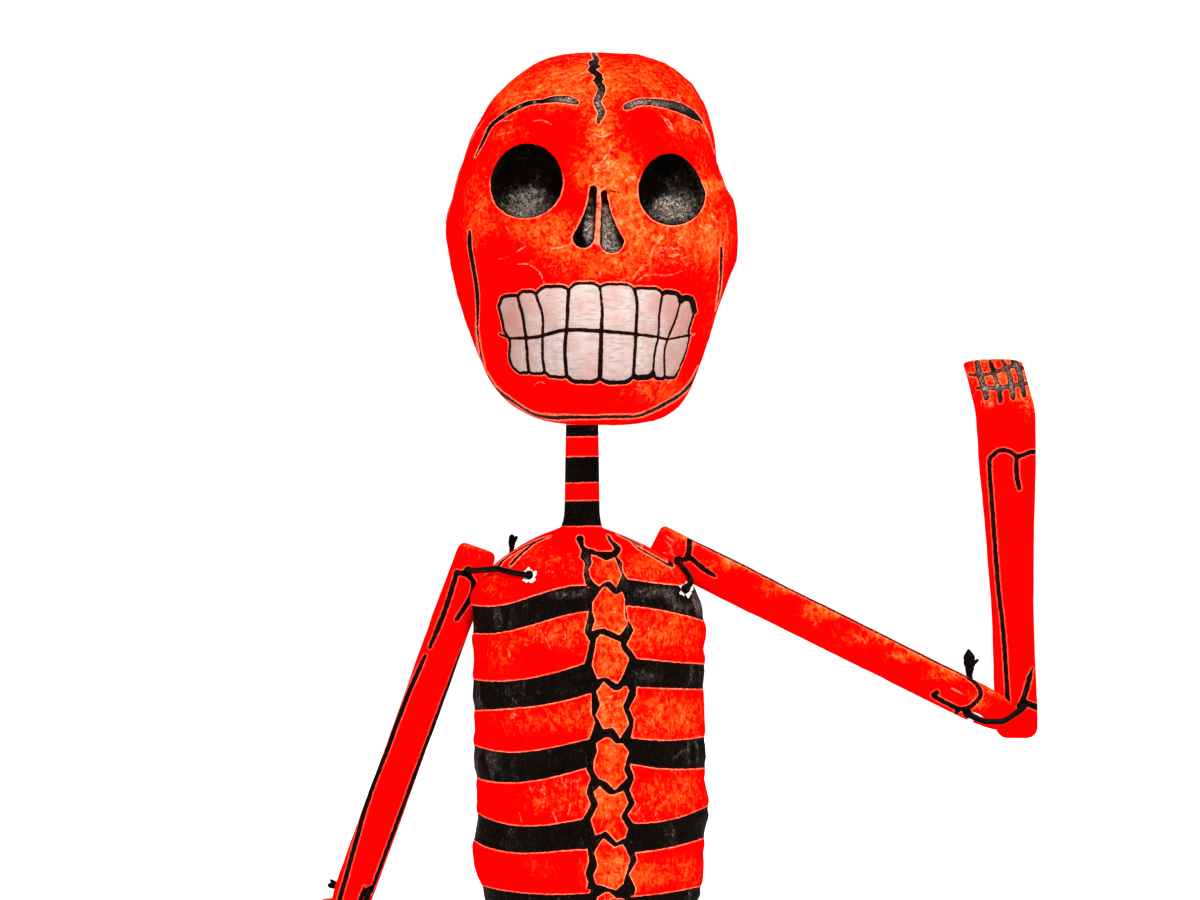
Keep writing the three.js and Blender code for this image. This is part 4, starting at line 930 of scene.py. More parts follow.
collarStrokes = dict(
    left=((0.45, 0.5, 0.6, 0.7, 0.7), (0.5, 1), [
        (-14.5, 455.3), (-18.9, 453.6), (-22.5, 450.7), (-24.8, 448.5), (-26.3, 446.8),
    ]),
    leftEdge=((0.4, 0.45, 0.5, 0.9, 1.0), (0.5, 1), [
        (-19.0, 453.9), (-24.4, 450.9), (-28.2, 448.4), (-29.4, 447.2), (-30.0, 446.0),
    ]),
    right=((0.5, 0.45, 0.45, 0.45, 0.5, 0.6), (0.5, 1), [
        (9.1, 454.1), (11.0, 452.4), (13.8, 450.6), (16.6, 448.9), (19.1, 447.4), (20.6, 446.6),
    ]),
    rightEdge=((0.4, 0.4), (0.5, 1), [(5.0, 456.2), (9.0, 454.3), (12.0, 452.7)]),
    rightEnd=((0.9, 1.3), (1, 1), [(20.2, 448.6), (21.0, 446.7)]),
)

neckBands = [(488.5, 485.1), (478.9, 471.5), (465.9, 458.6)]

pelvisStrokes = dict(
    leftWing=(1.8, (0.7, 0.5), [
        (-6, 306), (-14, 309.5), (-22, 308.5), (-29, 302), (-31, 295), (-27, 289),
    ]),
    rightWing=(1.8, (0.7, 0.5), [(12, 306), (19, 309.5), (25, 308), (29, 301), (29, 294), (24, 288)]),
    seam=(1.7, (1, 0.5), [(3, 307), (2.2, 301), (3.4, 296), (2.6, 290)]),
)
pelvisHoles = [((-14, 296.5), 6.2, 4.6), ((18, 296.5), 6.0, 4.6)]

# where the torso shows orange: thin paint, and painted highlight where the light falls
torsoThinAndLit = [
    (-12, 428, 13, 6, 0.75), (20, 427, 13, 8, 0.85), (3, 432, 6, 12, 0.8), (3, 404, 6, 12, 0.9),
    (-9, 402, 10, 6, 0.65), (21, 402, 13, 8, 0.9), (-24, 401, 10, 5, 0.35), (-10, 378, 12, 7, 0.7),
    (21, 379, 13, 8, 0.75), (3, 388, 6, 9, 0.75), (3, 374, 6, 8, 0.7), (20, 356, 13, 6, 0.75),
    (-12, 357, 14, 4, 0.3), (17, 447, 10, 6, 0.85), (-20, 452, 9, 4, 0.4), (-31, 441, 6, 5, 0.6),
    (3, 357, 6, 8, 0.75), (-29, 421, 7, 7, 0.5), (-12, 447, 9, 4, 0.45), (18, 298, 10, 8, 0.5),
    (-14, 300, 12, 7, 0.3), (3, 446, 5, 4, 0.5), (3, 330, 7, 22, 0.6), (3, 419, 6, 7, 0.7),
]

# where the ink of the torso shows grey: worn ink, and painted sheen on the glossy ink
torsoWornAndSheen = [
    (-4, 446, 2, 6, 0.4), (6.5, 445, 2, 4, 0.5), (17, 439, 10, 2.5, 0.3), (-11, 438.5, 8, 2, 0.3),
    (-4, 430, 1.5, 5, 0.4), (8, 431, 1.5, 5, 0.4), (27, 435, 4, 2, 0.25), (-10, 410, 6, 2, 0.2),
    (14, 414, 7, 3, 0.28),
]


def torsoReach(z, ways, power, root):
    # from the middle to the skin at each level; ways are the full sizes at the chest, waist and hip
    t = torso
    chest, waist, hip = (size / 2 for size in ways)
    aboveFoot = z - t["neckLevel"]
    neck = t["neckWidth"] / 2 + t["neckFlare"] * np.clip(1 - aboveFoot / t["neckLength"], 0, 1)
    neck = neck + t["neckFoot"] * np.clip(1 - aboveFoot / 5, 0, 1) ** 2
    drop = np.clip(-aboveFoot / t["shoulderDrop"], 0, 1)
    neckAtChest = t["neckWidth"] / 2 + t["neckFlare"] + t["neckFoot"]
    shoulder = np.hypot(chest * rounded(1 - drop, power, root), neckAtChest * (1 - drop))
    ribsBottom = t["neckLevel"] - t["shoulderDrop"] - t["ribsHeight"]
    waistZ, hipZ = t["bottom"] + t["waistLevel"], t["bottom"] + t["hipLevel"]
    lower = mix(hip, mix(waist, shoulder, smooth(waistZ, ribsBottom, z)), smooth(hipZ, waistZ, z))
    under = np.maximum(0, (hipZ - z) / t["hipLevel"])
    return np.where(aboveFoot > 0, neck, lower * rounded(under, 3, 3))


def torsoStation(z):  # half width, half depth, squareness and place of the middle at each level
    t = torso
    half = torsoReach(z, (t["chestWidth"], t["waistWidth"], t["hipWidth"]), 1.8, 1.5)
    thick = torsoReach(z, (t["chestDepth"], t["waistDepth"], t["hipDepth"]), 2.2, 1.7)
    toNeck = smooth(t["neckLevel"] - t["shoulderDrop"], t["neckLevel"], z)
    shift = t["neckOffset"] * smooth(t["neckLevel"] - t["shoulderDrop"] * 1.5, t["neckLevel"], z)
    return half, thick, mix(t["squareness"], 2, toNeck), t["middle"] + shift


def torsoAt(z, angle, grow=0.0):
    half, thick, squareness, middle = torsoStation(z)
    x = (half + grow) * signedPower(np.sin(angle), 2 / squareness)
    y = -(thick + grow) * signedPower(np.cos(angle), 2 / squareness)
    places = turned(np.stack([x, y, z + 0 * x], axis=-1), torso["turn"])
    places[..., 0] += middle
    return places


def torsoAngle(x, z, back=False):  # where on its outline the torso has this x at this level
    start = quarter if back else -quarter
    angles = start - math.radians(torso["turn"]) + np.linspace(0, math.pi, 181)
    return angles[np.argmin(np.abs(torsoAt(np.full(181, float(z)), angles)[:, 0] - x))]


def torsoSkinY(x, z, back=False):
    return float(torsoAt(np.array(float(z)), torsoAngle(x, z, back))[1])


def outOfTorso(places):  # presses a limb flat where it would enter the torso
    t = torso
    z = places[..., 2]
    half, thick, power, middle = torsoStation(z)
    local = places.copy()
    local[..., 0] -= middle
    local = turned(local, -t["turn"])
    size = (np.abs(local[..., 0] / np.maximum(half + t["clearance"], 1e-6)) ** power
            + np.abs(local[..., 1] / np.maximum(thick + t["clearance"], 1e-6)) ** power) ** (1 / power)
    inside = (size < 1) & (z < t["neckLevel"] + 2) & (z > t["bottom"])
    local[..., :2] *= np.where(inside, 1 / np.maximum(size, 0.05), 1)[..., None]
    local = turned(local, t["turn"])
    local[..., 0] += middle
    return local


def spineEdge(side, z):  # the wavy edge at each level; it repeats below its last place
    sides, levels = np.array(spine[side]).T
    lowest = levels[-1] + 1.0
    for _ in range(2):
        z = np.where(z < lowest, z + spine["pitch"], z)
    return np.interp(-z, -levels, sides)


def spineGaps(x, z):  # to the red tiles and to the black stripe behind them
    tiles = spine["tiles"] + [[(tileX, tileZ - spine["pitch"]) for tileX, tileZ in tile]
                              for tile in spine["tiles"][-3:]]
    return least(*(areaGap(x, z, tile) for tile in tiles)), most(
        spineEdge("left", z) - x, x - spineEdge("right", z), z - spine["top"], spine["bottom"] - z)


def torsoPaint(x, z):  # the gaps to the ink on the torso and to its black bands
    r = ribBands
    beyondLeft = x - spineEdge("left", z) - r["overlap"]
    beyondRight = spineEdge("right", z) - x - r["overlap"]
    bands = []
    for at, edges, beyond in ((r["leftAt"], r["left"], beyondLeft), (r["rightAt"], r["right"], beyondRight)):
        within = np.clip(x, at[0] - 2, at[-1] + 2)
        for band in edges:
            top, bottom = (np.polyval(np.polyfit(at, edge, len(at) - 1), within) for edge in band)
            bands.append(most(z - top, bottom - z, beyond))
    top, bottom = r["waist"]
    arch = 2.5 * np.cos((x - 3) / 9)
    for beyond in (beyondLeft, beyondRight):
        bands.append(most(z - top - 0.3 * arch, bottom + arch - z, beyond))
    tilt = 0.02 * (x + 5)
    bands = least(*bands, *(most(z - top - tilt, bottom + tilt - z) for top, bottom in neckBands))
    tiles, stripe = spineGaps(x, z)
    ink = most(least(bands, stripe), -tiles)
    ink = least(ink, strokeGap(x, z, spine["crownWidths"], (1, 0.8), spine["crown"]),
                ovalGap(x, z, spine["crown"][0], 1.1, 1.1))
    ink = most(ink, -strokeGap(x, z, 0.5, (1, 0.4), spine["notch"]))
    holes = (ovalGap(x, z, *hole) for hole in pelvisHoles)
    return least(ink, strokesGap(x, z, [*collarStrokes.values(), *pelvisStrokes.values()]), *holes), bands


def torsoGrid():  # rows of points round the torso, closer together beside the spine
    t = torso
    hipZ, shoulderZ = t["bottom"] + t["hipLevel"], t["neckLevel"] - t["shoulderDrop"]
    swing = np.linspace(quarter, 0, t["pelvisRows"], endpoint=False)
    rise = np.linspace(0, 1, t["shoulderRows"] + 1)[1:]
    levels = np.concatenate([
        hipZ - t["hipLevel"] * np.sin(swing) * 0.9985,
        np.linspace(hipZ, shoulderZ, t["bodyRows"]),
        mix(shoulderZ, t["neckLevel"], np.sin(rise * quarter)),
        np.linspace(t["neckLevel"], t["top"], t["neckRows"] + 1)[1:]])
    across = np.linspace(-1, 1, t["frontColumns"], endpoint=False)
    front = quarter * mix(across, across ** 3, t["middleDensity"])
    back = np.linspace(quarter, 3 * quarter, t["backColumns"], endpoint=False)
    turn = math.radians(t["turn"])
    level, angle = np.meshgrid(levels, np.concatenate([front, back]) - turn * 0.8, indexing="ij")
    rows = torsoAt(level, angle)
    rows[..., 0] += sideShift(level, np.sin(angle + turn), torsoSides)
    return rows


def makeTorso():
    t = torso
    piece = skinFrom("torso", torsoGrid())
    p, n = placesOf(piece), normalsOf(piece)
    x, z = asSeen(p)
    ink, bands = torsoPaint(x, z)
    chestHoles = [armAt(side)["chest"] for side, _ in bothSides]
    hipHoles = [legAt(side)["hip"] for side, _ in bothSides]
    gaps = zip(holeGaps(p, chestHoles, t["chestTorn"], 3), holeGaps(p, hipHoles, t["hipTorn"], 9))
    holeInk, white = (least(*both) for both in gaps)
    place(piece, boredHoles(p, chestHoles + hipHoles, 0, t["holeDepth"]))
    folds = creases(p, 10, 211, 8) * smooth(0.0, 0.6, fractal(p, 15, 215))
    slanted = p @ np.array([[1, 0, 0.4], [0, 1, 0], [-0.25, 0, 0.4]])
    folds = np.minimum(1, folds + 0.8 * creases(slanted, 5, 221) * smooth(0.1, 0.6, fractal(p, 12, 225)))
    ribs = smooth(*t["ribsStart"], p[:, 2]) * smooth(*t["ribsEnd"], p[:, 2])
    height = pastedSkin(p, t, folds, 201) + t["ribSwell"] * (2 * smooth(-1.2, 2.4, bands) - 1) * ribs
    calm = smooth(1.0, 4.0, holeInk) * smooth(*t["neckCalm"], p[:, 2])
    moveOut(piece, height * mix(0.15, 1, calm) + tornRelief(white, holeInk))
    facing = smooth(0.2, -0.2, n[:, 1])
    # painted glints in the black bands towards the sides of the torso
    edge = smooth(14, 30, np.abs(x + 3)) * smooth(0.0, 0.5, fractal(p * point(1, 1, 0.3), 5, 231))
    mark(piece, ink=least(most(ink, -white), holeInk), white=white, stain=tornStain,
         thin=t["thin"] * spotsOf(x, z, torsoThinAndLit) * facing + t["thinBehind"] * (1 - facing),
         fold=np.where(facing > 0.5, foldGap(x, z, torsoFolds) + 0.13, far),
         grey=0.3 * edge + spotsOf(x, z, torsoWornAndSheen))
    return piece


# Holes that a wire passes through

holeRadius = 1.2
tornStain = -0.3  # turns the white into that of bare paper


def boredHoles(places, holes, middleY, depth):
    # sinks a small round pit into the front and the back at each hole
    x, y, z = places.T
    for holeX, holeZ in holes:
        reach = np.hypot(x - holeX, z - holeZ)
        sink = depth * rounded(reach / holeRadius, 3, 2) * (reach < holeRadius)
        y = y + np.sign(middleY - y) * np.minimum(sink, np.abs(middleY - y) * 0.8)
    return np.stack([x, y, z], axis=-1)


def holeGaps(places, holes, torn, seed):
    # to the dark bores, and to the bare paper round them, which is torn out to that reach
    ink, white = [], []
    for number, (holeX, holeZ) in enumerate(holes):
        dx, dz = places[:, 0] - holeX, places[:, 2] - holeZ
        reach, around = np.hypot(dx, dz), np.arctan2(dz, dx)
        ragged = 0.35 * np.sin(around * 5 + number) + 0.3 * np.sin(around * 11 + seed)
        white.append(reach - torn - ragged - 0.35 * np.cos(around + 0.9))
        ink.append(reach - holeRadius * 1.1)
    return least(*ink), least(*white)


def tornRelief(white, ink):
    return 0.3 * smooth(0.3, -0.5, white) * smooth(0, 0.4, ink)


# Limbs: flattened rolls of paper

arms = dict(
    length=119.0, width=11.9, depth=8.5, tip=14.0,
    forearmLength=114.6, forearmWidth=12.7, forearmDepth=8.0, forearmSoft=(3.5, 1.2), handDepth=5.6,
    handLength=15.7, handWidth=18.0, handLean=11.5, handTilt=20, wrist=3.0, fingertips=0.55,
    elbowPast=6.3, elbowAside=3.0, gap=0.3,
    elbowHole=(11.9, 4.1), forearmHole=(9.9, 1.5),  # inset and offset
    left=dict(inset=1.1, drop=6.2, forward=14.0, soft=3.0, angle=19.9, forearmAngle=4,
              hole=(7.4, 0.4), chestHole=(16.6, 13.6)),
    right=dict(inset=14.9, drop=4.9, forward=6.5, soft=1.6, angle=63.6, forearmAngle=182,
               hole=(9.0, -1.6), chestHole=(5.8, 18.0)),
)

# a limb without strokes here gets the outline of a bone instead
armStrokes = dict(
    upper_arm_left=[
        (1.45, (1, 0.75), [(-42.3, 444.9), (-45.8, 433.7), (-50.3, 422.7)]),
        (1.35, (0.8, 1), [
            (-51.7, 420.1), (-57.1, 408.0), (-62.7, 392.9), (-68.0, 379.3), (-72.2, 365.1),
            (-77.4, 346.5),
        ]),
        (1.6, (1, 0.8), [
            (-42.5, 444.5), (-40.6, 444.6), (-38.4, 443.4), (-37.3, 441.1), (-38.4, 437.2),
            (-42.4, 430.9),
        ]),
        (1.1, (0.3, 0.9), [(-39.8, 424.5), (-53.6, 388), (-67.8, 350.0)]),
        (1.2, (0.3, 1), [(-69.5, 352.3), (-71.0, 347.5), (-72.4, 343.5)]),
    ],
    upper_arm_right=[
        (1.5, (0.9, 0.9), [(26.5, 456.4), (26.4, 452.0), (26.0, 449.1)]),
        (1.5, (0.9, 0.6), [(25.8, 450.0), (29.6, 446.7), (34.0, 443.7)]),
        (1.2, (1, 1), [(26.2, 448.6), (23.0, 448.4)]),
        (0.5, (0.6, 0.8), [(27.2, 454.3), (65.1, 435.4), (109.4, 413.4)]),
        (1.35, (1, 0.9), [
            (99.7, 409.3), (98.6, 408.4), (101.4, 406.7), (104.4, 405.2), (106.5, 404.4), (108.8, 404.7),
            (110.9, 406.2), (112.4, 408.0), (112.4, 410.2), (110.9, 412.2), (109.4, 413.4),
        ]),
        (1.2, (0.9, 0.9), [(106.5, 404.4), (105.0, 402.9)]),
    ],
    forearm_right=[
        (1.25, (0.9, 0.7), [
            (129.5, 480.5), (127.4, 480.4), (123.6, 479.2), (121.2, 480.6), (118.4, 480.9),
            (116.4, 479.6), (115.2, 477.2), (115.9, 465.9), (116.8, 453.2), (118.0, 438.4),
            (119.2, 428.0), (120.3, 412.0), (120.8, 405.6), (121.8, 403.4),
        ]),
        (1.4, (0.9, 0.9), [(123.2, 479.0), (123.2, 474.0), (124.0, 469.6)]),
        (1.5, (0.3, 1), [(127.9, 416.5), (126.6, 412.3), (125.7, 408.9), (124.0, 405.0)]),
        (1.8, (0.9, 1), [(125.7, 406.4), (130.2, 404.4)]),
        ((1.6, 1.8, 1.9, 2.0, 1.9), (1, 0.9), [
            (111.6, 506.9), (112.0, 504.4), (113.0, 501.2), (113.9, 498.7), (114.3, 496.5),
        ]),
        ((1.1, 1.4, 1.5, 1.6, 1.5), (1, 0.9), [
            (115.2, 507.3), (116.2, 505.1), (117.1, 502.8), (117.8, 499.7), (118.4, 495.3),
        ]),
        ((0.8, 1.2, 1.5, 1.6, 1.6), (1, 0.9), [
            (118.9, 507.6), (119.9, 506.0), (120.8, 503.8), (121.6, 500.7), (122.2, 496.5),
        ]),
        ((1.6, 2.0, 1.6, 1.6, 1.6), (1, 0.9), [
            (122.2, 507.5), (123.5, 505.4), (124.3, 502.8), (124.9, 499.7), (125.4, 497.2),
        ]),
        ((1.0, 1.0, 0.9, 1.0, 1.2, 0.9), (0.7, 1), [
            (109.1, 503.3), (111.2, 503.2), (116.1, 503.7), (118.4, 504.5), (120.3, 505.5),
            (121.8, 506.0),
        ]),
        ((1.1, 1.4, 0.9), (1, 1), [(121.5, 505.9), (123.1, 505.7), (125.5, 505.1)]),
        ((1.0, 1.2, 1.2, 1.2, 1.2, 1.1), (0.7, 0.9), [
            (111.4, 499.3), (113.5, 499.6), (117.4, 499.2), (119.7, 499.6), (124.1, 500.4),
            (126.7, 500.8),
        ]),
    ],
)

# bare white paper along the slit at the right elbow
tornSlits = dict(
    upper_arm_right=[
        (1.25, (0.8, 0.8), [(108.5, 403.1), (109.0, 402.0), (109.9, 400.9)]),
        (0.95, (1, 0.4), [(108.7, 403.1), (110.6, 403.0), (113.4, 401.8)]),
    ],
)

# where the paint of an arm shows orange (thin paint, and painted highlight where the light falls), where its
# ink shows grey, and cracks and folds in its paper, the folds painted as pale highlight lines
armThinAndLit = dict(
    upper_arm_right=[
        (26, 455, 5, 2.5, 0.7), (38, 447.5, 8, 2.5, 0.9), (52, 440, 8, 2.5, 0.6),
        (66, 432.8, 8, 2.8, 0.9), (80, 425.5, 8, 2.5, 0.7), (92, 420.3, 7, 2.5, 0.9),
        (102, 415, 6, 2.5, 0.9), (112, 408, 5, 4, 0.7),
    ],
    forearm_right=[(118, 503, 10, 5, 0.75), (126, 495, 3, 4, 0.7), (114, 495, 3, 2, 0.5)],
    upper_arm_left=[(-36, 452, 5, 2.5, 0.35)],
)
armGreyInk = dict(forearm_right=[(117.5, 502, 12, 8, 0.72)])
armCracks = dict(forearm_right=[[(115.6, 506.7), (116.6, 504.1), (117.7, 501.0), (118.6, 496.1)]])
armFolds = dict(
    upper_arm_right=[
        [(19.3, 455.7), (22.1, 453.6)], [(19.1, 454.3), (20.4, 453.1), (21.4, 451.6)],
        [(18.8, 450.6), (22.1, 449.9)], [(104, 410.5), (107.5, 408.6)],
    ],
    upper_arm_left=[[(-40.6, 453.6), (-37.5, 453.9), (-34.5, 452.6)]],
)

legs = dict(
    spacing=31.0, thighWidth=14.4, thighDepth=10.5, shinWidth=13.2, shinDepth=9.5,
    overlap=17.0, tip=14.0, soft=3.5, gap=0.3, share=0.497,
    footLength=37.0, footWidth=19.0, footThickness=8.0, ankle=9.0, toe=6.0,
    sole=14.3, socket=7.0, hipHoleLevel=13.0, hipHoleDrop=9.0, kneeHoleInset=9.0,
    settle=0.28,  # how far the soles sink to meet the base
)

limbSkin = dict(columns=76, endRows=16, squareness=2.8, lumps=((0.16, 14, 0), (0.05, 4, 2)),
                folds=0.08, seam=0.12, torn=0.9, holeDepth=2.6)


def hanging(angle, side):
    return point(side * math.sin(math.radians(angle)), 0, -math.cos(math.radians(angle)))


def armAt(side):  # the lines of an arm, and the places (x, z) of the wire holes
    a, t = arms, torso
    own = a["left" if side < 0 else "right"]
    start = point(t["middle"] + side * (t["chestWidth"] / 2 - own["inset"]),
                  t["chestDepth"] / 2 - own["forward"], t["neckLevel"] - own["drop"])
    along = hanging(own["angle"], side)
    outer = point(-along[2] * side, 0, along[0] * side)
    end = start + along * a["length"]
    lowerAlong = hanging(own["forearmAngle"], side)
    behind = (a["depth"] + a["forearmDepth"]) / 2 + a["gap"]
    lowerStart = end - lowerAlong * a["elbowPast"] + point(side * a["elbowAside"], behind, 0)
    wrist = lowerStart + lowerAlong * (a["forearmLength"] - a["handLength"])
    x, z, _ = turned(lowerAlong[[0, 2, 1]], a["handLean"])
    tilt = math.radians(a["handTilt"])
    hand = point(x * math.cos(tilt), side * math.sin(tilt), z * math.cos(tilt))
    (inset, offset), (lowerInset, lowerOffset) = a["elbowHole"], a["forearmHole"]
    return dict(
        side=side, own=own, start=start, end=end, outer=outer, lowerStart=lowerStart, wrist=wrist,
        fingertips=wrist + hand * (a["handLength"] + a["fingertips"]),
        chest=(t["middle"] + side * (t["chestWidth"] / 2 - own["chestHole"][0]),
               t["neckLevel"] - own["chestHole"][1]),
        shoulder=(start + along * own["hole"][0] + outer * own["hole"][1])[::2],
        upper=(end - along * inset - outer * offset)[::2],
        lower=(lowerStart + lowerAlong * lowerInset + point(side * lowerOffset, 0, 0))[::2])


def legPoint(side, forward, z):
    place = turned(point(side * legs["spacing"] / 2, -forward, z), torso["turn"])
    return place + point(torso["middle"], 0, 0)


def legAt(side):
    g, hips = legs, torso["bottom"]
    top = hips + g["socket"] - g["gap"]
    kneeTop = g["sole"] + (top - g["sole"] + g["overlap"]) * (1 - g["share"])
    bottom = kneeTop - g["overlap"]
    forward = (g["thighDepth"] + g["shinDepth"]) / 4
    shinForward = -forward - g["gap"]
    sole = g["sole"] + g["footThickness"] / 2
    x = legPoint(side, 0, 0)[0]
    return dict(
        side=side, start=legPoint(side, forward, top), end=legPoint(side, forward, bottom),
        knee=legPoint(side, shinForward, kneeTop), ankle=legPoint(side, shinForward, sole),
        toe=legPoint(side, shinForward + g["footLength"], sole),
        hip=(x, hips + g["hipHoleLevel"]), upper=(x, hips - g["hipHoleDrop"]),
        lower=(x, kneeTop + g["kneeHoleInset"]), shin=(x, bottom - g["kneeHoleInset"]))


def straightPath(start, end):
    return mix(start, end, np.linspace(0, 1, 60)[:, None])


def softBend(a, corner, b, count):
    t = np.linspace(0, 1, count)[:, None]
    return a * (1 - t) ** 2 + 2 * corner * t * (1 - t) + b * t ** 2


def bentPath(start, bend, end, reach):
    before, after = (bend + unit(place - bend) * reach for place in (start, end))
    return np.vstack([straightPath(start, before)[:-1], softBend(before, bend, after, 24),
                      straightPath(after, end)[1:]])


def tapered(size, share):  # a plain size, or one that goes over into another between two shares
    first, last, start, end = size if np.ndim(size) else (size, size, 0, 1)
    return mix(first, last, smooth(start, end, share))


def limbRows(limb):  # rows of points along a path, with the place of each across and along the limb
    path, (softStart, softEnd) = limb["path"], limb["soft"]
    stations = np.concatenate([[0], np.cumsum(np.linalg.norm(np.diff(path, axis=0), axis=1))])
    length = stations[-1]
    ease = 1 - np.cos(np.linspace(0, quarter, limb.get("endRows", limbSkin["endRows"])))
    body = np.linspace(softStart, length - softEnd, limb["bodyRows"])[1:-1]
    along = np.concatenate([softStart * ease, body, (length - softEnd * ease)[::-1]])
    centre, before, after = (
        np.stack([np.interp(along + step, stations, path[:, axis]) for axis in range(3)], axis=-1)
        for step in (0, -0.4, 0.4))
    through = unit(np.cross(limb["side"], unit(after - before)))
    scale = 1
    for size, away in zip(limb.get("ends", (0.5, 0.5)), (along / softStart, (length - along) / softEnd)):
        scale = scale * mix(size, 1, rounded(1 - np.minimum(1, away), 2, 2))
    half, thick = (tapered(limb[way], along / length) / 2 * scale for way in ("width", "depth"))
    angle = 2 * math.pi * (np.arange(limbSkin["columns"]) + 0.5) / limbSkin["columns"]
    across = half[:, None] * signedPower(np.sin(angle), 2 / limbSkin["squareness"])
    deep = thick[:, None] * signedPower(np.cos(angle), 2 / limbSkin["squareness"])
    rows = centre[:, None] + limb["side"] * across[..., None] + through[:, None] * deep[..., None]
    return rows, across, np.broadcast_to(along[:, None], across.shape)


def boneStrokes(length, half, top, bottom):  # along a limb: (across, along)
    a, b, low = half * 0.62, half * 0.589, length - bottom
    return [
        (1.5, (0.7, 0.7), [(-a, top), (-b, length * 0.3), (-a * 1.03, length * 0.6), (-b, low)]),
        (1.5, (0.7, 0.5), [(-a, top), (-a * 0.3, top - 2.6), (a * 0.3, top - 2.2), (a * 0.85, top + 0.6),
                           (a * 0.6, top + 4), (a * 0.1, top + 8)]),
        (1.5, (0.7, 0.5), [(-b, low), (-a * 0.3, low + 2.5), (a * 0.4, low + 2), (a * 0.85, low - 1),
                           (a * 0.5, low - 6)]),
        (0.75, (0.5, 0.5), [(a * 1.3, top + 9), (a * 1.32, length * 0.5), (a * 1.3, low - 9)]),
    ]


def fingerStrokes(length, half, reach):
    # four fingers and two rows of knuckles at the end of a hand or a foot
    fingers = [(1.7, (0.8, 0.9), [
        (half * share * 1.04, length - 0.9), (half * share, length - reach * 0.5),
        (half * share * 0.95 + 0.2, length - reach - 0.5 * math.sin(number * 2))])
        for number, share in enumerate((-0.66, -0.26, 0.24, 0.62))]
    knuckles = [(1.3, (0.6, 0.6), [
        (-half * 0.95, level), (-half * 0.3, level + 0.5), (half * 0.3, level - 0.3),
        (half * 0.9, level + 0.4)]) for level in (length - reach * 0.3, length - reach * 0.72)]
    return fingers + knuckles


def makeLimb(name, material, seed, holes, limb):
    s = limbSkin
    rows, across, along = limbRows(limb)
    if limb.get("pressed"):
        rows = outOfTorso(rows)
    rows[..., 2] -= limb.get("settle", 0) * smooth(3.0, 0.0, rows[..., 2] - legs["sole"])
    piece = skinFrom(name, rows)
    across, along = capped(across), capped(along)
    p = placesOf(piece)
    place(piece, boredHoles(p, holes, limb["path"][0][1], s["holeDepth"]))
    n = normalsOf(piece)
    facing = n[:, 1] < 0
    x, z = asSeen(p) if name in armStrokes else (across, along)
    holeInk, white = holeGaps(p, holes, s["torn"], seed)
    white = least(white, np.where(facing, strokesGap(x, z, tornSlits.get(name, [])), far))
    folds = creases(p, 10, seed + 3) * smooth(0.25, 0.8, fractal(p, 18, seed + 4))
    seam = across - tapered(limb["width"], 0.5) * 0.2 * np.sin(along / 60 + seed)
    height = pastedSkin(p, s, folds, seed) - s["seam"] * bump(seam, 0, 0.5) * (n[:, 1] > 0.3)
    moveOut(piece, height * smooth(0.1, 1.2, holeInk) + tornRelief(white, holeInk))
    # skin that faces up is more orange: painted light from above
    thin = 0.05 + 0.5 * smooth(0.25, 0.8, normalsOf(piece)[:, 2])
    cracks = foldGap(x, z, armCracks.get(name, []))
    strokes = armStrokes.get(name) or limb["strokes"]
    mark(piece, ink=least(strokesGap(x, z, strokes), holeInk), white=white, stain=tornStain,
         thin=thin + spotsOf(x, z, armThinAndLit.get(name, [])) * facing,
         fold=np.where(facing, foldGap(x, z, armFolds.get(name, [])), far),
         grey=spotsOf(x, z, armGreyInk.get(name, [])) * facing * smooth(0.0, 0.25, cracks))
    handIn(piece, name, material)


def makeArms(material):
    a = arms
    wristAt = a["forearmLength"] - a["handLength"]
    for side, word in bothSides:
        arm = armAt(side)
        makeLimb(f"upper_arm_{word}", material, 50 + 7 * side, [arm["shoulder"], arm["upper"]], dict(
            path=straightPath(arm["start"], arm["end"]), side=arm["outer"], pressed=True,
            width=a["width"], depth=a["depth"], soft=(arm["own"]["soft"], a["tip"]), ends=(0.7, 0.5),
            endRows=22, bodyRows=230))
        makeLimb(f"forearm_{word}", material, 80 + 7 * side, [arm["lower"]], dict(
            path=bentPath(arm["lowerStart"], arm["wrist"], arm["fingertips"], a["wrist"]),
            side=point(1, 0, 0), width=(a["forearmWidth"], a["handWidth"], 0.3, 0.9),
            depth=(a["forearmDepth"], a["handDepth"], 0.6, 0.95), soft=a["forearmSoft"], ends=(0.5, 0.7),
            bodyRows=230, strokes=boneStrokes(wristAt, a["forearmWidth"] / 2, top=19, bottom=6)
            + fingerStrokes(a["forearmLength"], a["handWidth"] / 2, reach=10.5)))


def makeLegs(material):
    g = legs
    sideways = turned(point(1, 0, 0), torso["turn"])
    for side, word in bothSides:
        leg = legAt(side)
        makeLimb(f"thigh_{word}", material, 110 + side, [leg["upper"], leg["lower"]], dict(
            path=straightPath(leg["start"], leg["end"]), side=sideways, width=g["thighWidth"],
            depth=g["thighDepth"], soft=(g["soft"], g["tip"]), bodyRows=260,
            strokes=boneStrokes(leg["start"][2] - leg["end"][2], g["thighWidth"] / 2, top=21, bottom=22)))
        path = bentPath(leg["knee"], leg["ankle"], leg["toe"], g["ankle"])
        shinLength = leg["knee"][2] - g["sole"]
        foot = g["footLength"] / (shinLength + g["footLength"])
        length = np.linalg.norm(np.diff(path, axis=0), axis=1).sum()
        makeLimb(f"shin_{word}", material, 130 + side, [leg["shin"]], dict(
            path=path, side=sideways, width=(g["shinWidth"], g["footWidth"], 1 - foot * 1.2, 1 - foot * 0.3),
            depth=(g["shinDepth"], g["footThickness"], 1 - foot * 1.3, 1 - foot), soft=(g["soft"], g["toe"]),
            bodyRows=290, settle=g["settle"],
            strokes=boneStrokes(shinLength - 14, g["shinWidth"] / 2, top=22, bottom=4)
            + fingerStrokes(length, g["footWidth"] / 2, reach=15)))


# The tie wires

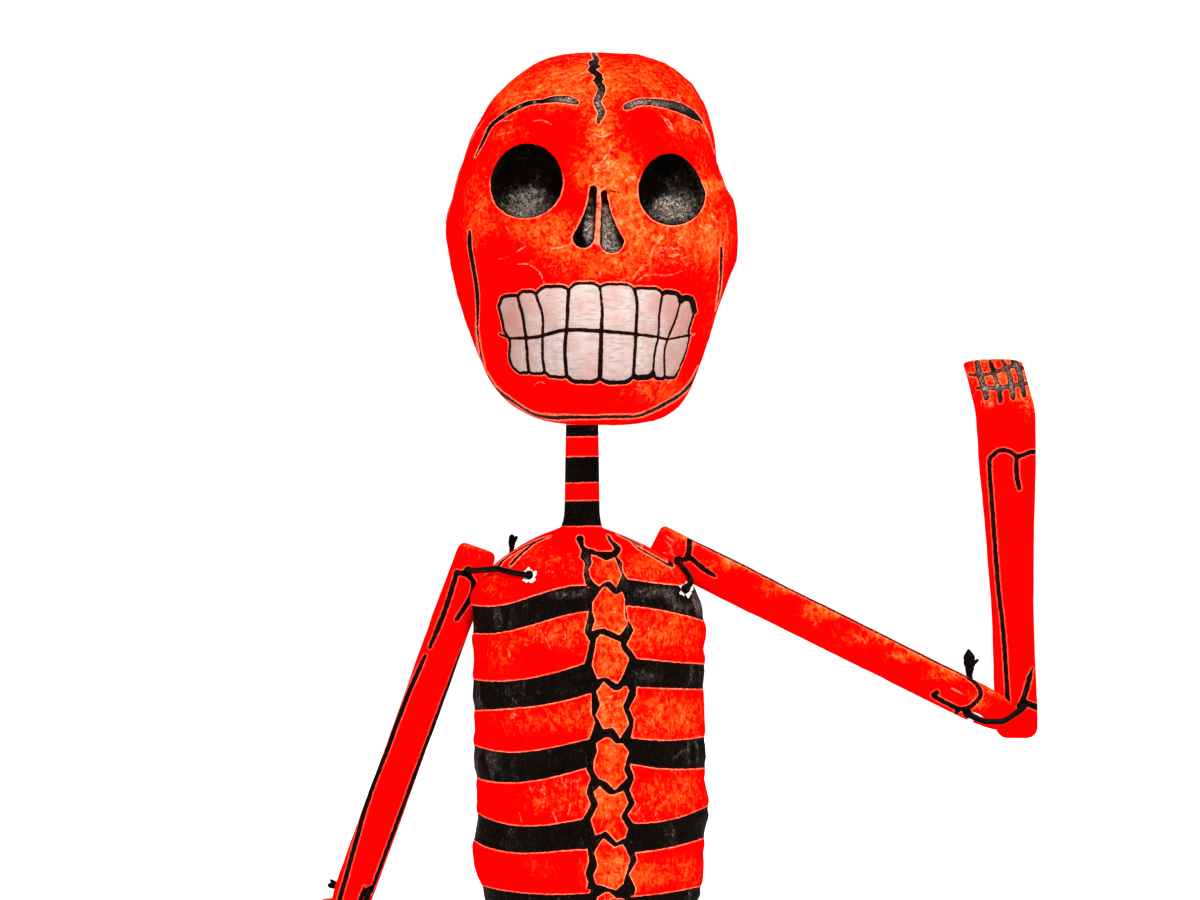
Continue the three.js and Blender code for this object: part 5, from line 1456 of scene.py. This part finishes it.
# twist is the length of one turn, wave is how far a wire strays from its path
wires = dict(
    radius=0.9, twist=4.5, wave=0.22, uneven=0.06, sides=12,
    stubRings=56, stubSides=20, stubThick=1.15, flat=0.85, groove=0.16,
    spurRings=14, spurSides=10, spurRadii=(0.8, 0.45),  # at its foot and its tip
    gap=0.3, arch=1.3, bend=1.6, slack=0.4, steps=3, edgeAngle=78,
    sag=2.0, sagStart=0.25, sagEnd=0.62, back=0.3,
    shoulderStub=11.0, leftElbowStub=(11.5, 88), rightElbowStub=(19.0, -3), legStub=10.0,
)
wires["lift"] = wires["radius"] + wires["gap"]  # from a surface to the middle of a wire
# share of the length and half width; the spur: share, aside, along, length
stubs = dict(
    forked=dict(profile=[(0, 0.85), (0.55, 0.75), (0.82, 1.15), (1, 0.7)], spur=(0.7, 0.6, 0.8, 3.0)),
    leaf=dict(profile=[(0, 0.9), (0.55, 1.05), (0.64, 1.2), (0.74, 1.75), (0.85, 1.95), (0.93, 1.3),
                       (1, 0.45)], spur=(0.72, 0.8, 0.45, 3.4)),
)


def tubeRows(path, radius, sides):
    ahead = unit(np.vstack([path[1] - path[0], path[2:] - path[:-2], path[-1] - path[-2]]))
    across = np.cross(point(0.31, 0.17, 0.93), ahead[0])
    angles = 2 * math.pi * np.arange(sides)[:, None] / sides
    rows = []
    for centre, direction, size in zip(path, ahead, radius):
        across = unit(across - direction * (across @ direction))
        ring = np.cos(angles) * across + np.sin(angles) * np.cross(direction, across)
        rows.append(centre + ring * size)
    return np.array(rows)


def stubRows(foot, tip, axis, across, profile, seed):  # two ends twisted together and pressed flat
    w = wires
    marks = np.linspace(0, 1, w["stubRings"])
    half = np.interp(marks, *zip(*profile))
    half = half * rounded(1 - np.minimum(1, marks / 0.04), 2, 2).clip(0.2)
    half = half * rounded(1 - np.minimum(1, (1 - marks) / 0.07), 2, 2).clip(0.15)
    marks = marks[:, None]
    angles = 2 * math.pi * np.arange(w["stubSides"]) / w["stubSides"]
    centre = mix(foot, tip, marks)
    centre = centre + across * 0.3 * noise(centre, 4, seed)[:, None] * marks
    twist = marks * np.linalg.norm(tip - foot) * 2 * math.pi / w["twist"]
    groove = 1 - w["groove"] * np.cos(2 * (angles - twist / 2)) ** 2
    wide = half[:, None] * np.cos(angles) * groove
    thick = np.minimum(half, w["stubThick"])[:, None] * np.sin(angles) * groove * w["flat"]
    return centre[:, None] + across * wide[..., None] + np.cross(axis, across) * thick[..., None]


def roundedLoop(corners):
    path = []
    for corner, before, after in zip(corners, np.roll(corners, 1, axis=0), np.roll(corners, -1, axis=0)):
        back, ahead = before - corner, after - corner
        reach = min(wires["bend"], np.linalg.norm(back) * 0.45, np.linalg.norm(ahead) * 0.45)
        a, b = corner + unit(back) * reach, corner + unit(ahead) * reach
        c = after - unit(ahead) * reach
        path += [*softBend(a, corner, b, 7), mix(b, c, 0.33), mix(b, c, 0.67)]
    return np.array(path + path[:2])


def makeWire(name, material, seed, corners, foot, tip):
    w = wires
    loop = roundedLoop(corners)
    loop = loop + w["wave"] * np.stack([noise(loop, 7, seed + axis) for axis in range(3)], axis=-1)
    size = w["radius"] * (1 + w["uneven"] * noise(loop, 2.5, seed + 4))
    shape = stubs["leaf" if name == "wire_elbow_right" else "forked"]
    axis = unit(tip - foot)
    across = unit(np.cross(point(0, 1, 0), axis))
    share, aside, along, length = shape["spur"]
    marks = np.linspace(0, 1, w["spurRings"])
    line, sag = unit(across * aside + axis * along) * length, axis * 0.4
    spur = mix(foot, tip, share) + line * marks[:, None] + sag * (marks ** 2)[:, None]
    spurSize = mix(*w["spurRadii"], marks) * rounded(np.maximum(0, marks - 0.8) * 4.9, 2, 2)
    stub = stubRows(foot, tip, axis, across, shape["profile"], seed)
    piece = skinFrom(name, tubeRows(loop, size, w["sides"]), stub, tubeRows(spur, spurSize, w["spurSides"]))
    moveOut(piece, 0)
    handIn(piece, name, material)


def shoulderWire(arm):
    w, steps = wires, wires["steps"]
    (chestX, chestZ), (armX, armZ) = arm["chest"], arm["shoulder"]
    reach = arms["depth"] / 2 + w["lift"]
    corners = [point(chestX, torsoSkinY(chestX, chestZ) - w["lift"], chestZ)]
    edge = arm["side"] * math.radians(w["edgeAngle"])
    for step in range(1, steps + 1):
        share = step / (steps + 1)
        angle = mix(torsoAngle(chestX, chestZ), edge, step / steps)
        corner = torsoAt(np.array(mix(chestZ, armZ, share)), angle, w["lift"] + w["slack"])
        corner[2] += (arm["side"] < 0) * w["arch"] * math.sin(math.pi * share)  # the left wire is arched
        corners.append(corner)
    armY = arm["start"][1]
    back = max(torsoSkinY(chestX, chestZ, True) + w["lift"], armY + reach)
    corners += [point(armX, armY - reach, armZ), point(armX, armY + reach, armZ), point(chestX, back, chestZ)]
    foot = mix(corners[-2], corners[-1], 0.68)
    return corners, foot, foot + point(0, 0, w["shoulderStub"])


def elbowWire(arm):
    w = wires
    (x, z), (lowerX, lowerZ) = arm["upper"], arm["lower"]
    reach, lowerReach = arms["depth"] / 2 + w["lift"], arms["forearmDepth"] / 2 + w["lift"]
    y, lowerY = arm["start"][1], arm["lowerStart"][1]
    sag = min(z, lowerZ) - w["sag"]
    corners = [
        point(x, y - reach, z), point(mix(x, lowerX, w["sagStart"]), y - reach, sag),
        point(mix(x, lowerX, w["sagEnd"]), y - reach, sag),
        point(lowerX, min(y - reach + 2 * w["radius"], lowerY - lowerReach), lowerZ),
        point(lowerX, lowerY + lowerReach, lowerZ),
        point(mix(x, lowerX, w["back"]), lowerY + lowerReach, z), point(x, y + reach, z)]
    length, lean = w["leftElbowStub"] if arm["side"] < 0 else w["rightElbowStub"]
    foot, up = mix(corners[5], corners[6], 0.6), -hanging(lean, -arm["side"])
    return corners, foot, foot + up * length


def hipWire(leg):
    w = wires
    (x, z), (_, thighZ) = leg["hip"], leg["upper"]
    y, reach = leg["start"][1], legs["thighDepth"] / 2 + w["lift"]
    front, back = torsoSkinY(x, z) - w["lift"], torsoSkinY(x, z, True) + w["lift"]
    under = torso["bottom"] - w["lift"]
    corners = [point(x, front, z), point(x, front, under), point(x, y - reach, thighZ),
               point(x, y + reach, thighZ), point(x, back, under), point(x, back, z)]
    foot = mix(corners[4], corners[5], 0.7)
    return corners, foot, foot + point(leg["side"] * w["legStub"], 2 * w["radius"], 0)


def kneeWire(leg):
    w = wires
    (x, z), (_, shinZ) = leg["lower"], leg["shin"]
    y, shinY = leg["start"][1], leg["knee"][1]
    reach, shinReach = legs["thighDepth"] / 2 + w["lift"], legs["shinDepth"] / 2 + w["lift"]
    corners = [
        point(x, y - reach, z), point(x, y - reach, leg["end"][2] - w["lift"]),
        point(x, shinY - shinReach, shinZ), point(x, shinY + shinReach, shinZ),
        point(x, shinY + shinReach, leg["knee"][2] + w["lift"]), point(x, y + reach, z)]
    foot = mix(corners[4], corners[5], 0.2)
    return corners, foot, foot + point(leg["side"] * w["legStub"], w["radius"], 0)


def makeWires(material):
    for side, word in bothSides:
        arm, leg = armAt(side), legAt(side)
        routes = dict(shoulder=shoulderWire(arm), elbow=elbowWire(arm), hip=hipWire(leg), knee=kneeWire(leg))
        for number, (joint, route) in enumerate(routes.items()):
            makeWire(f"wire_{joint}_{word}", material, 300 + 10 * number + side, *route)


def wirePaint():
    n = Nodes(bpy.data.materials.new("tieWire"))
    tone = n.noise(1.2, 4, 0.6)
    return n.surface({
        "Base Color": n.blend(n.ramp(tone, 0.45, 0.75), (0.003, 0.002, 0.0018), (0.017, 0.010, 0.009)),
        "Roughness": n.ramp(tone, 0.3, 0.7, 0.36, 0.6), "Specular IOR Level": 0.04,
        "Normal": n.bump(n.noise(0.5, 3), 0.05)})


# The base

base = dict(width=180.0, depth=120.0, height=14.0, corner=10.0, bevel=1.6, grain=0.07, dents=0.12,
            cornerSteps=12, sideSteps=40, bevelSteps=6, topRings=34, sideRows=14)
baseCorners = np.array([(1, 1), (-1, 1), (-1, -1), (1, -1)])


def baseRing(inset, z, shrink=1.0):  # one level of the block: round corners with straight sides between
    b = base
    radius = max(0.3, b["corner"] - inset)
    reach = point(b["width"], b["depth"], 0)[:2] / 2 - inset - radius
    ring = []
    for number, (corner, after) in enumerate(zip(baseCorners, np.roll(baseCorners, -1, axis=0))):
        angle = quarter * (number + np.arange(b["cornerSteps"] + 1) / b["cornerSteps"])
        arc = corner * reach + radius * np.stack([np.cos(angle), np.sin(angle)], axis=-1)
        share = np.arange(1, b["sideSteps"])[:, None] / b["sideSteps"]
        ring += [arc, arc[-1] + (after - corner) * reach * share]
    ring = np.vstack(ring) * shrink
    return np.column_stack([ring, np.full(len(ring), z)])


def makeBase():
    b = base
    top, bevel = b["height"], b["bevel"]
    rows = [baseRing(0.4, 0.0, share) for share in (0.02, 0.5, 0.9, 1.0)]
    rows += [baseRing(0.12, 0.12), baseRing(0, 0.5)]
    rows += [baseRing(0, z) for z in np.linspace(0.5, top - bevel, b["sideRows"])[1:]]
    for angle in np.linspace(0, quarter, b["bevelSteps"] + 1)[1:]:
        rows.append(baseRing(bevel * (1 - math.cos(angle)), top - bevel * (1 - math.sin(angle))))
    shares = 1 - (np.linspace(0, 1, b["topRings"] + 1)[1:] ** 0.9) * 0.985
    rows += [baseRing(bevel, top, share) for share in shares]
    piece = skinFrom("base", np.array(rows))
    p = placesOf(piece)
    grain = np.abs(fractal(p * point(0.12, 1.0, 1.0), 3.2, 401))
    height = -b["grain"] * grain - b["dents"] * np.maximum(0, fractal(p, 30, 405))
    moveOut(piece, height * smooth(0.4, 1.2, p[:, 2]))
    inside = least(b["width"] / 2 - np.abs(p[:, 0]), b["depth"] / 2 - np.abs(p[:, 1]), 9)
    mark(piece, wear=bump(inside, 0, 1.3) * bump(p[:, 2], top, 1.6))  # rubbed edges
    return piece


def basePaint():
    n = Nodes(bpy.data.materials.new("baseWood"))
    brush = n.noise(1.6, 4, 0.6, stretch=(0.08, 1.0, 1.0))
    patches = n.noise(14, 4)
    black = n.blend(n.ramp(brush, 0.4, 0.75), (0.011, 0.008, 0.007), (0.035, 0.029, 0.026))
    wood = n.blend(brush, (0.2, 0.1, 0.045), (0.34, 0.19, 0.09))
    worn = n.ramp(n.layer("wear") + (patches - 0.62) * 1.6, 0.45, 0.62)
    return n.surface({
        "Base Color": n.blend(worn, black, wood), "Specular IOR Level": 0.45,
        "Roughness": n.ramp(brush, 0.3, 0.8, 0.42, 0.62),
        "Normal": n.bump(brush, 0.12, n.bump(patches, 0.15))})


# Light, camera and floor

room = dict(
    airSeen=1.0, airAsLight=0.26, floorRadius=6, floorLevel=-0.0004,
    lamps=dict(  # place, aim, size, power and tint
        glintLight=((0.3, -1.0, 1.2), (0, 0, 0.45), (0.07, 0.07), 2.5, (1, 1, 1)),
        keyLight=((0.55, -0.75, 1.35), (0, 0, 0.48), (0.7, 0.5), 13, (1, 0.98, 0.95)),
        topLight=((-0.1, -0.25, 1.5), (0, 0, 0.5), (0.9, 0.7), 5, (1, 1, 1)),
        fillLight=((-1.0, -1.1, 0.6), (0, 0, 0.45), (0.9, 1.1), 7, (1, 1, 1)),
        backLight=((0.3, 1.2, 1.0), (0, 0, 0.4), (0.8, 0.8), 5, (1, 1, 1)),
    ),
    skyEnergy=1.1, skyAngle=70,  # a wide sun, which lights the floor evenly to its far edge
)


def makeAir():  # white behind the figure, dimmer as a light
    n = Nodes(bpy.data.worlds.new("studioAir"), "Background")
    strength = n.add("ShaderNodeMapRange", {
        "Value": n.add("ShaderNodeLightPath", {}, "Is Camera Ray"),
        "To Min": room["airAsLight"], "To Max": room["airSeen"]})
    bpy.context.scene.world = n.surface({"Color": (1, 1, 1, 1), "Strength": strength})
    view = bpy.context.scene.view_settings
    view.view_transform = "Standard"
    view.look = "Medium High Contrast"


def makeLamps():
    for name, (place, aim, size, power, tint) in room["lamps"].items():
        data = bpy.data.lights.new(name, "AREA")
        data.shape = "RECTANGLE"
        data.size, data.size_y = size
        data.energy = power
        data.color = tint
        lamp = addObject(name, data)
        lamp.location = place
        lamp.rotation_euler = (Vector(aim) - Vector(place)).to_track_quat("-Z", "Y").to_euler()
    sky = bpy.data.lights.new("skyLight", "SUN")
    sky.energy = room["skyEnergy"]
    sky.angle = math.radians(room["skyAngle"])
    addObject("skyLight", sky)


def makeFloor():
    bpy.ops.mesh.primitive_circle_add(vertices=96, radius=room["floorRadius"], fill_type="NGON",
                                      location=(0, 0.3, room["floorLevel"]))
    floor = bpy.context.object
    floor.name = "floor"
    n = Nodes(bpy.data.materials.new("paleFloor"))
    away = n.add("ShaderNodeVectorMath", {0: n.place()}, "Value", operation="LENGTH")
    floor.data.materials.append(n.surface({
        "Base Color": n.blend(n.noise(60, 2), (0.86, 0.86, 0.86), (0.9, 0.9, 0.9)), "Roughness": 0.7,
        "Emission Strength": n.ramp(away, 0.35, 2.2), "Emission Color": (1, 1, 1, 1)}))  # glows far off


def makeCamera():
    camera = addObject("camera", bpy.data.cameras.new("camera"))
    camera.location = (0, -photoView["distance"] * metre, photoView["level"] * metre)
    camera.rotation_euler = (quarter, 0, 0)
    camera.data.lens = photoView["lens"]
    camera.data.sensor_width = photoView["sensor"]
    bpy.context.scene.camera = camera


makeAir()
makeLamps()
makeFloor()
makeCamera()
print("room, light and camera are set")
handIn(makeSkull(), "skull", paperPaint("skullPaint", (0.5, 0.5, 2.2)))
handIn(makeTorso(), "torso", paperPaint("ribPaint", (0.8, 1.0, 1.3), 1.0, (1.6, 1.0, 0.7)))
limbPaint = paperPaint("limbPaint", (1.6, 1.0, 0.4), 0.7, (1.0, 1.0, 0.5), 0.4)
makeArms(limbPaint)
makeLegs(limbPaint)
makeWires(wirePaint())
handIn(makeBase(), "base", basePaint())
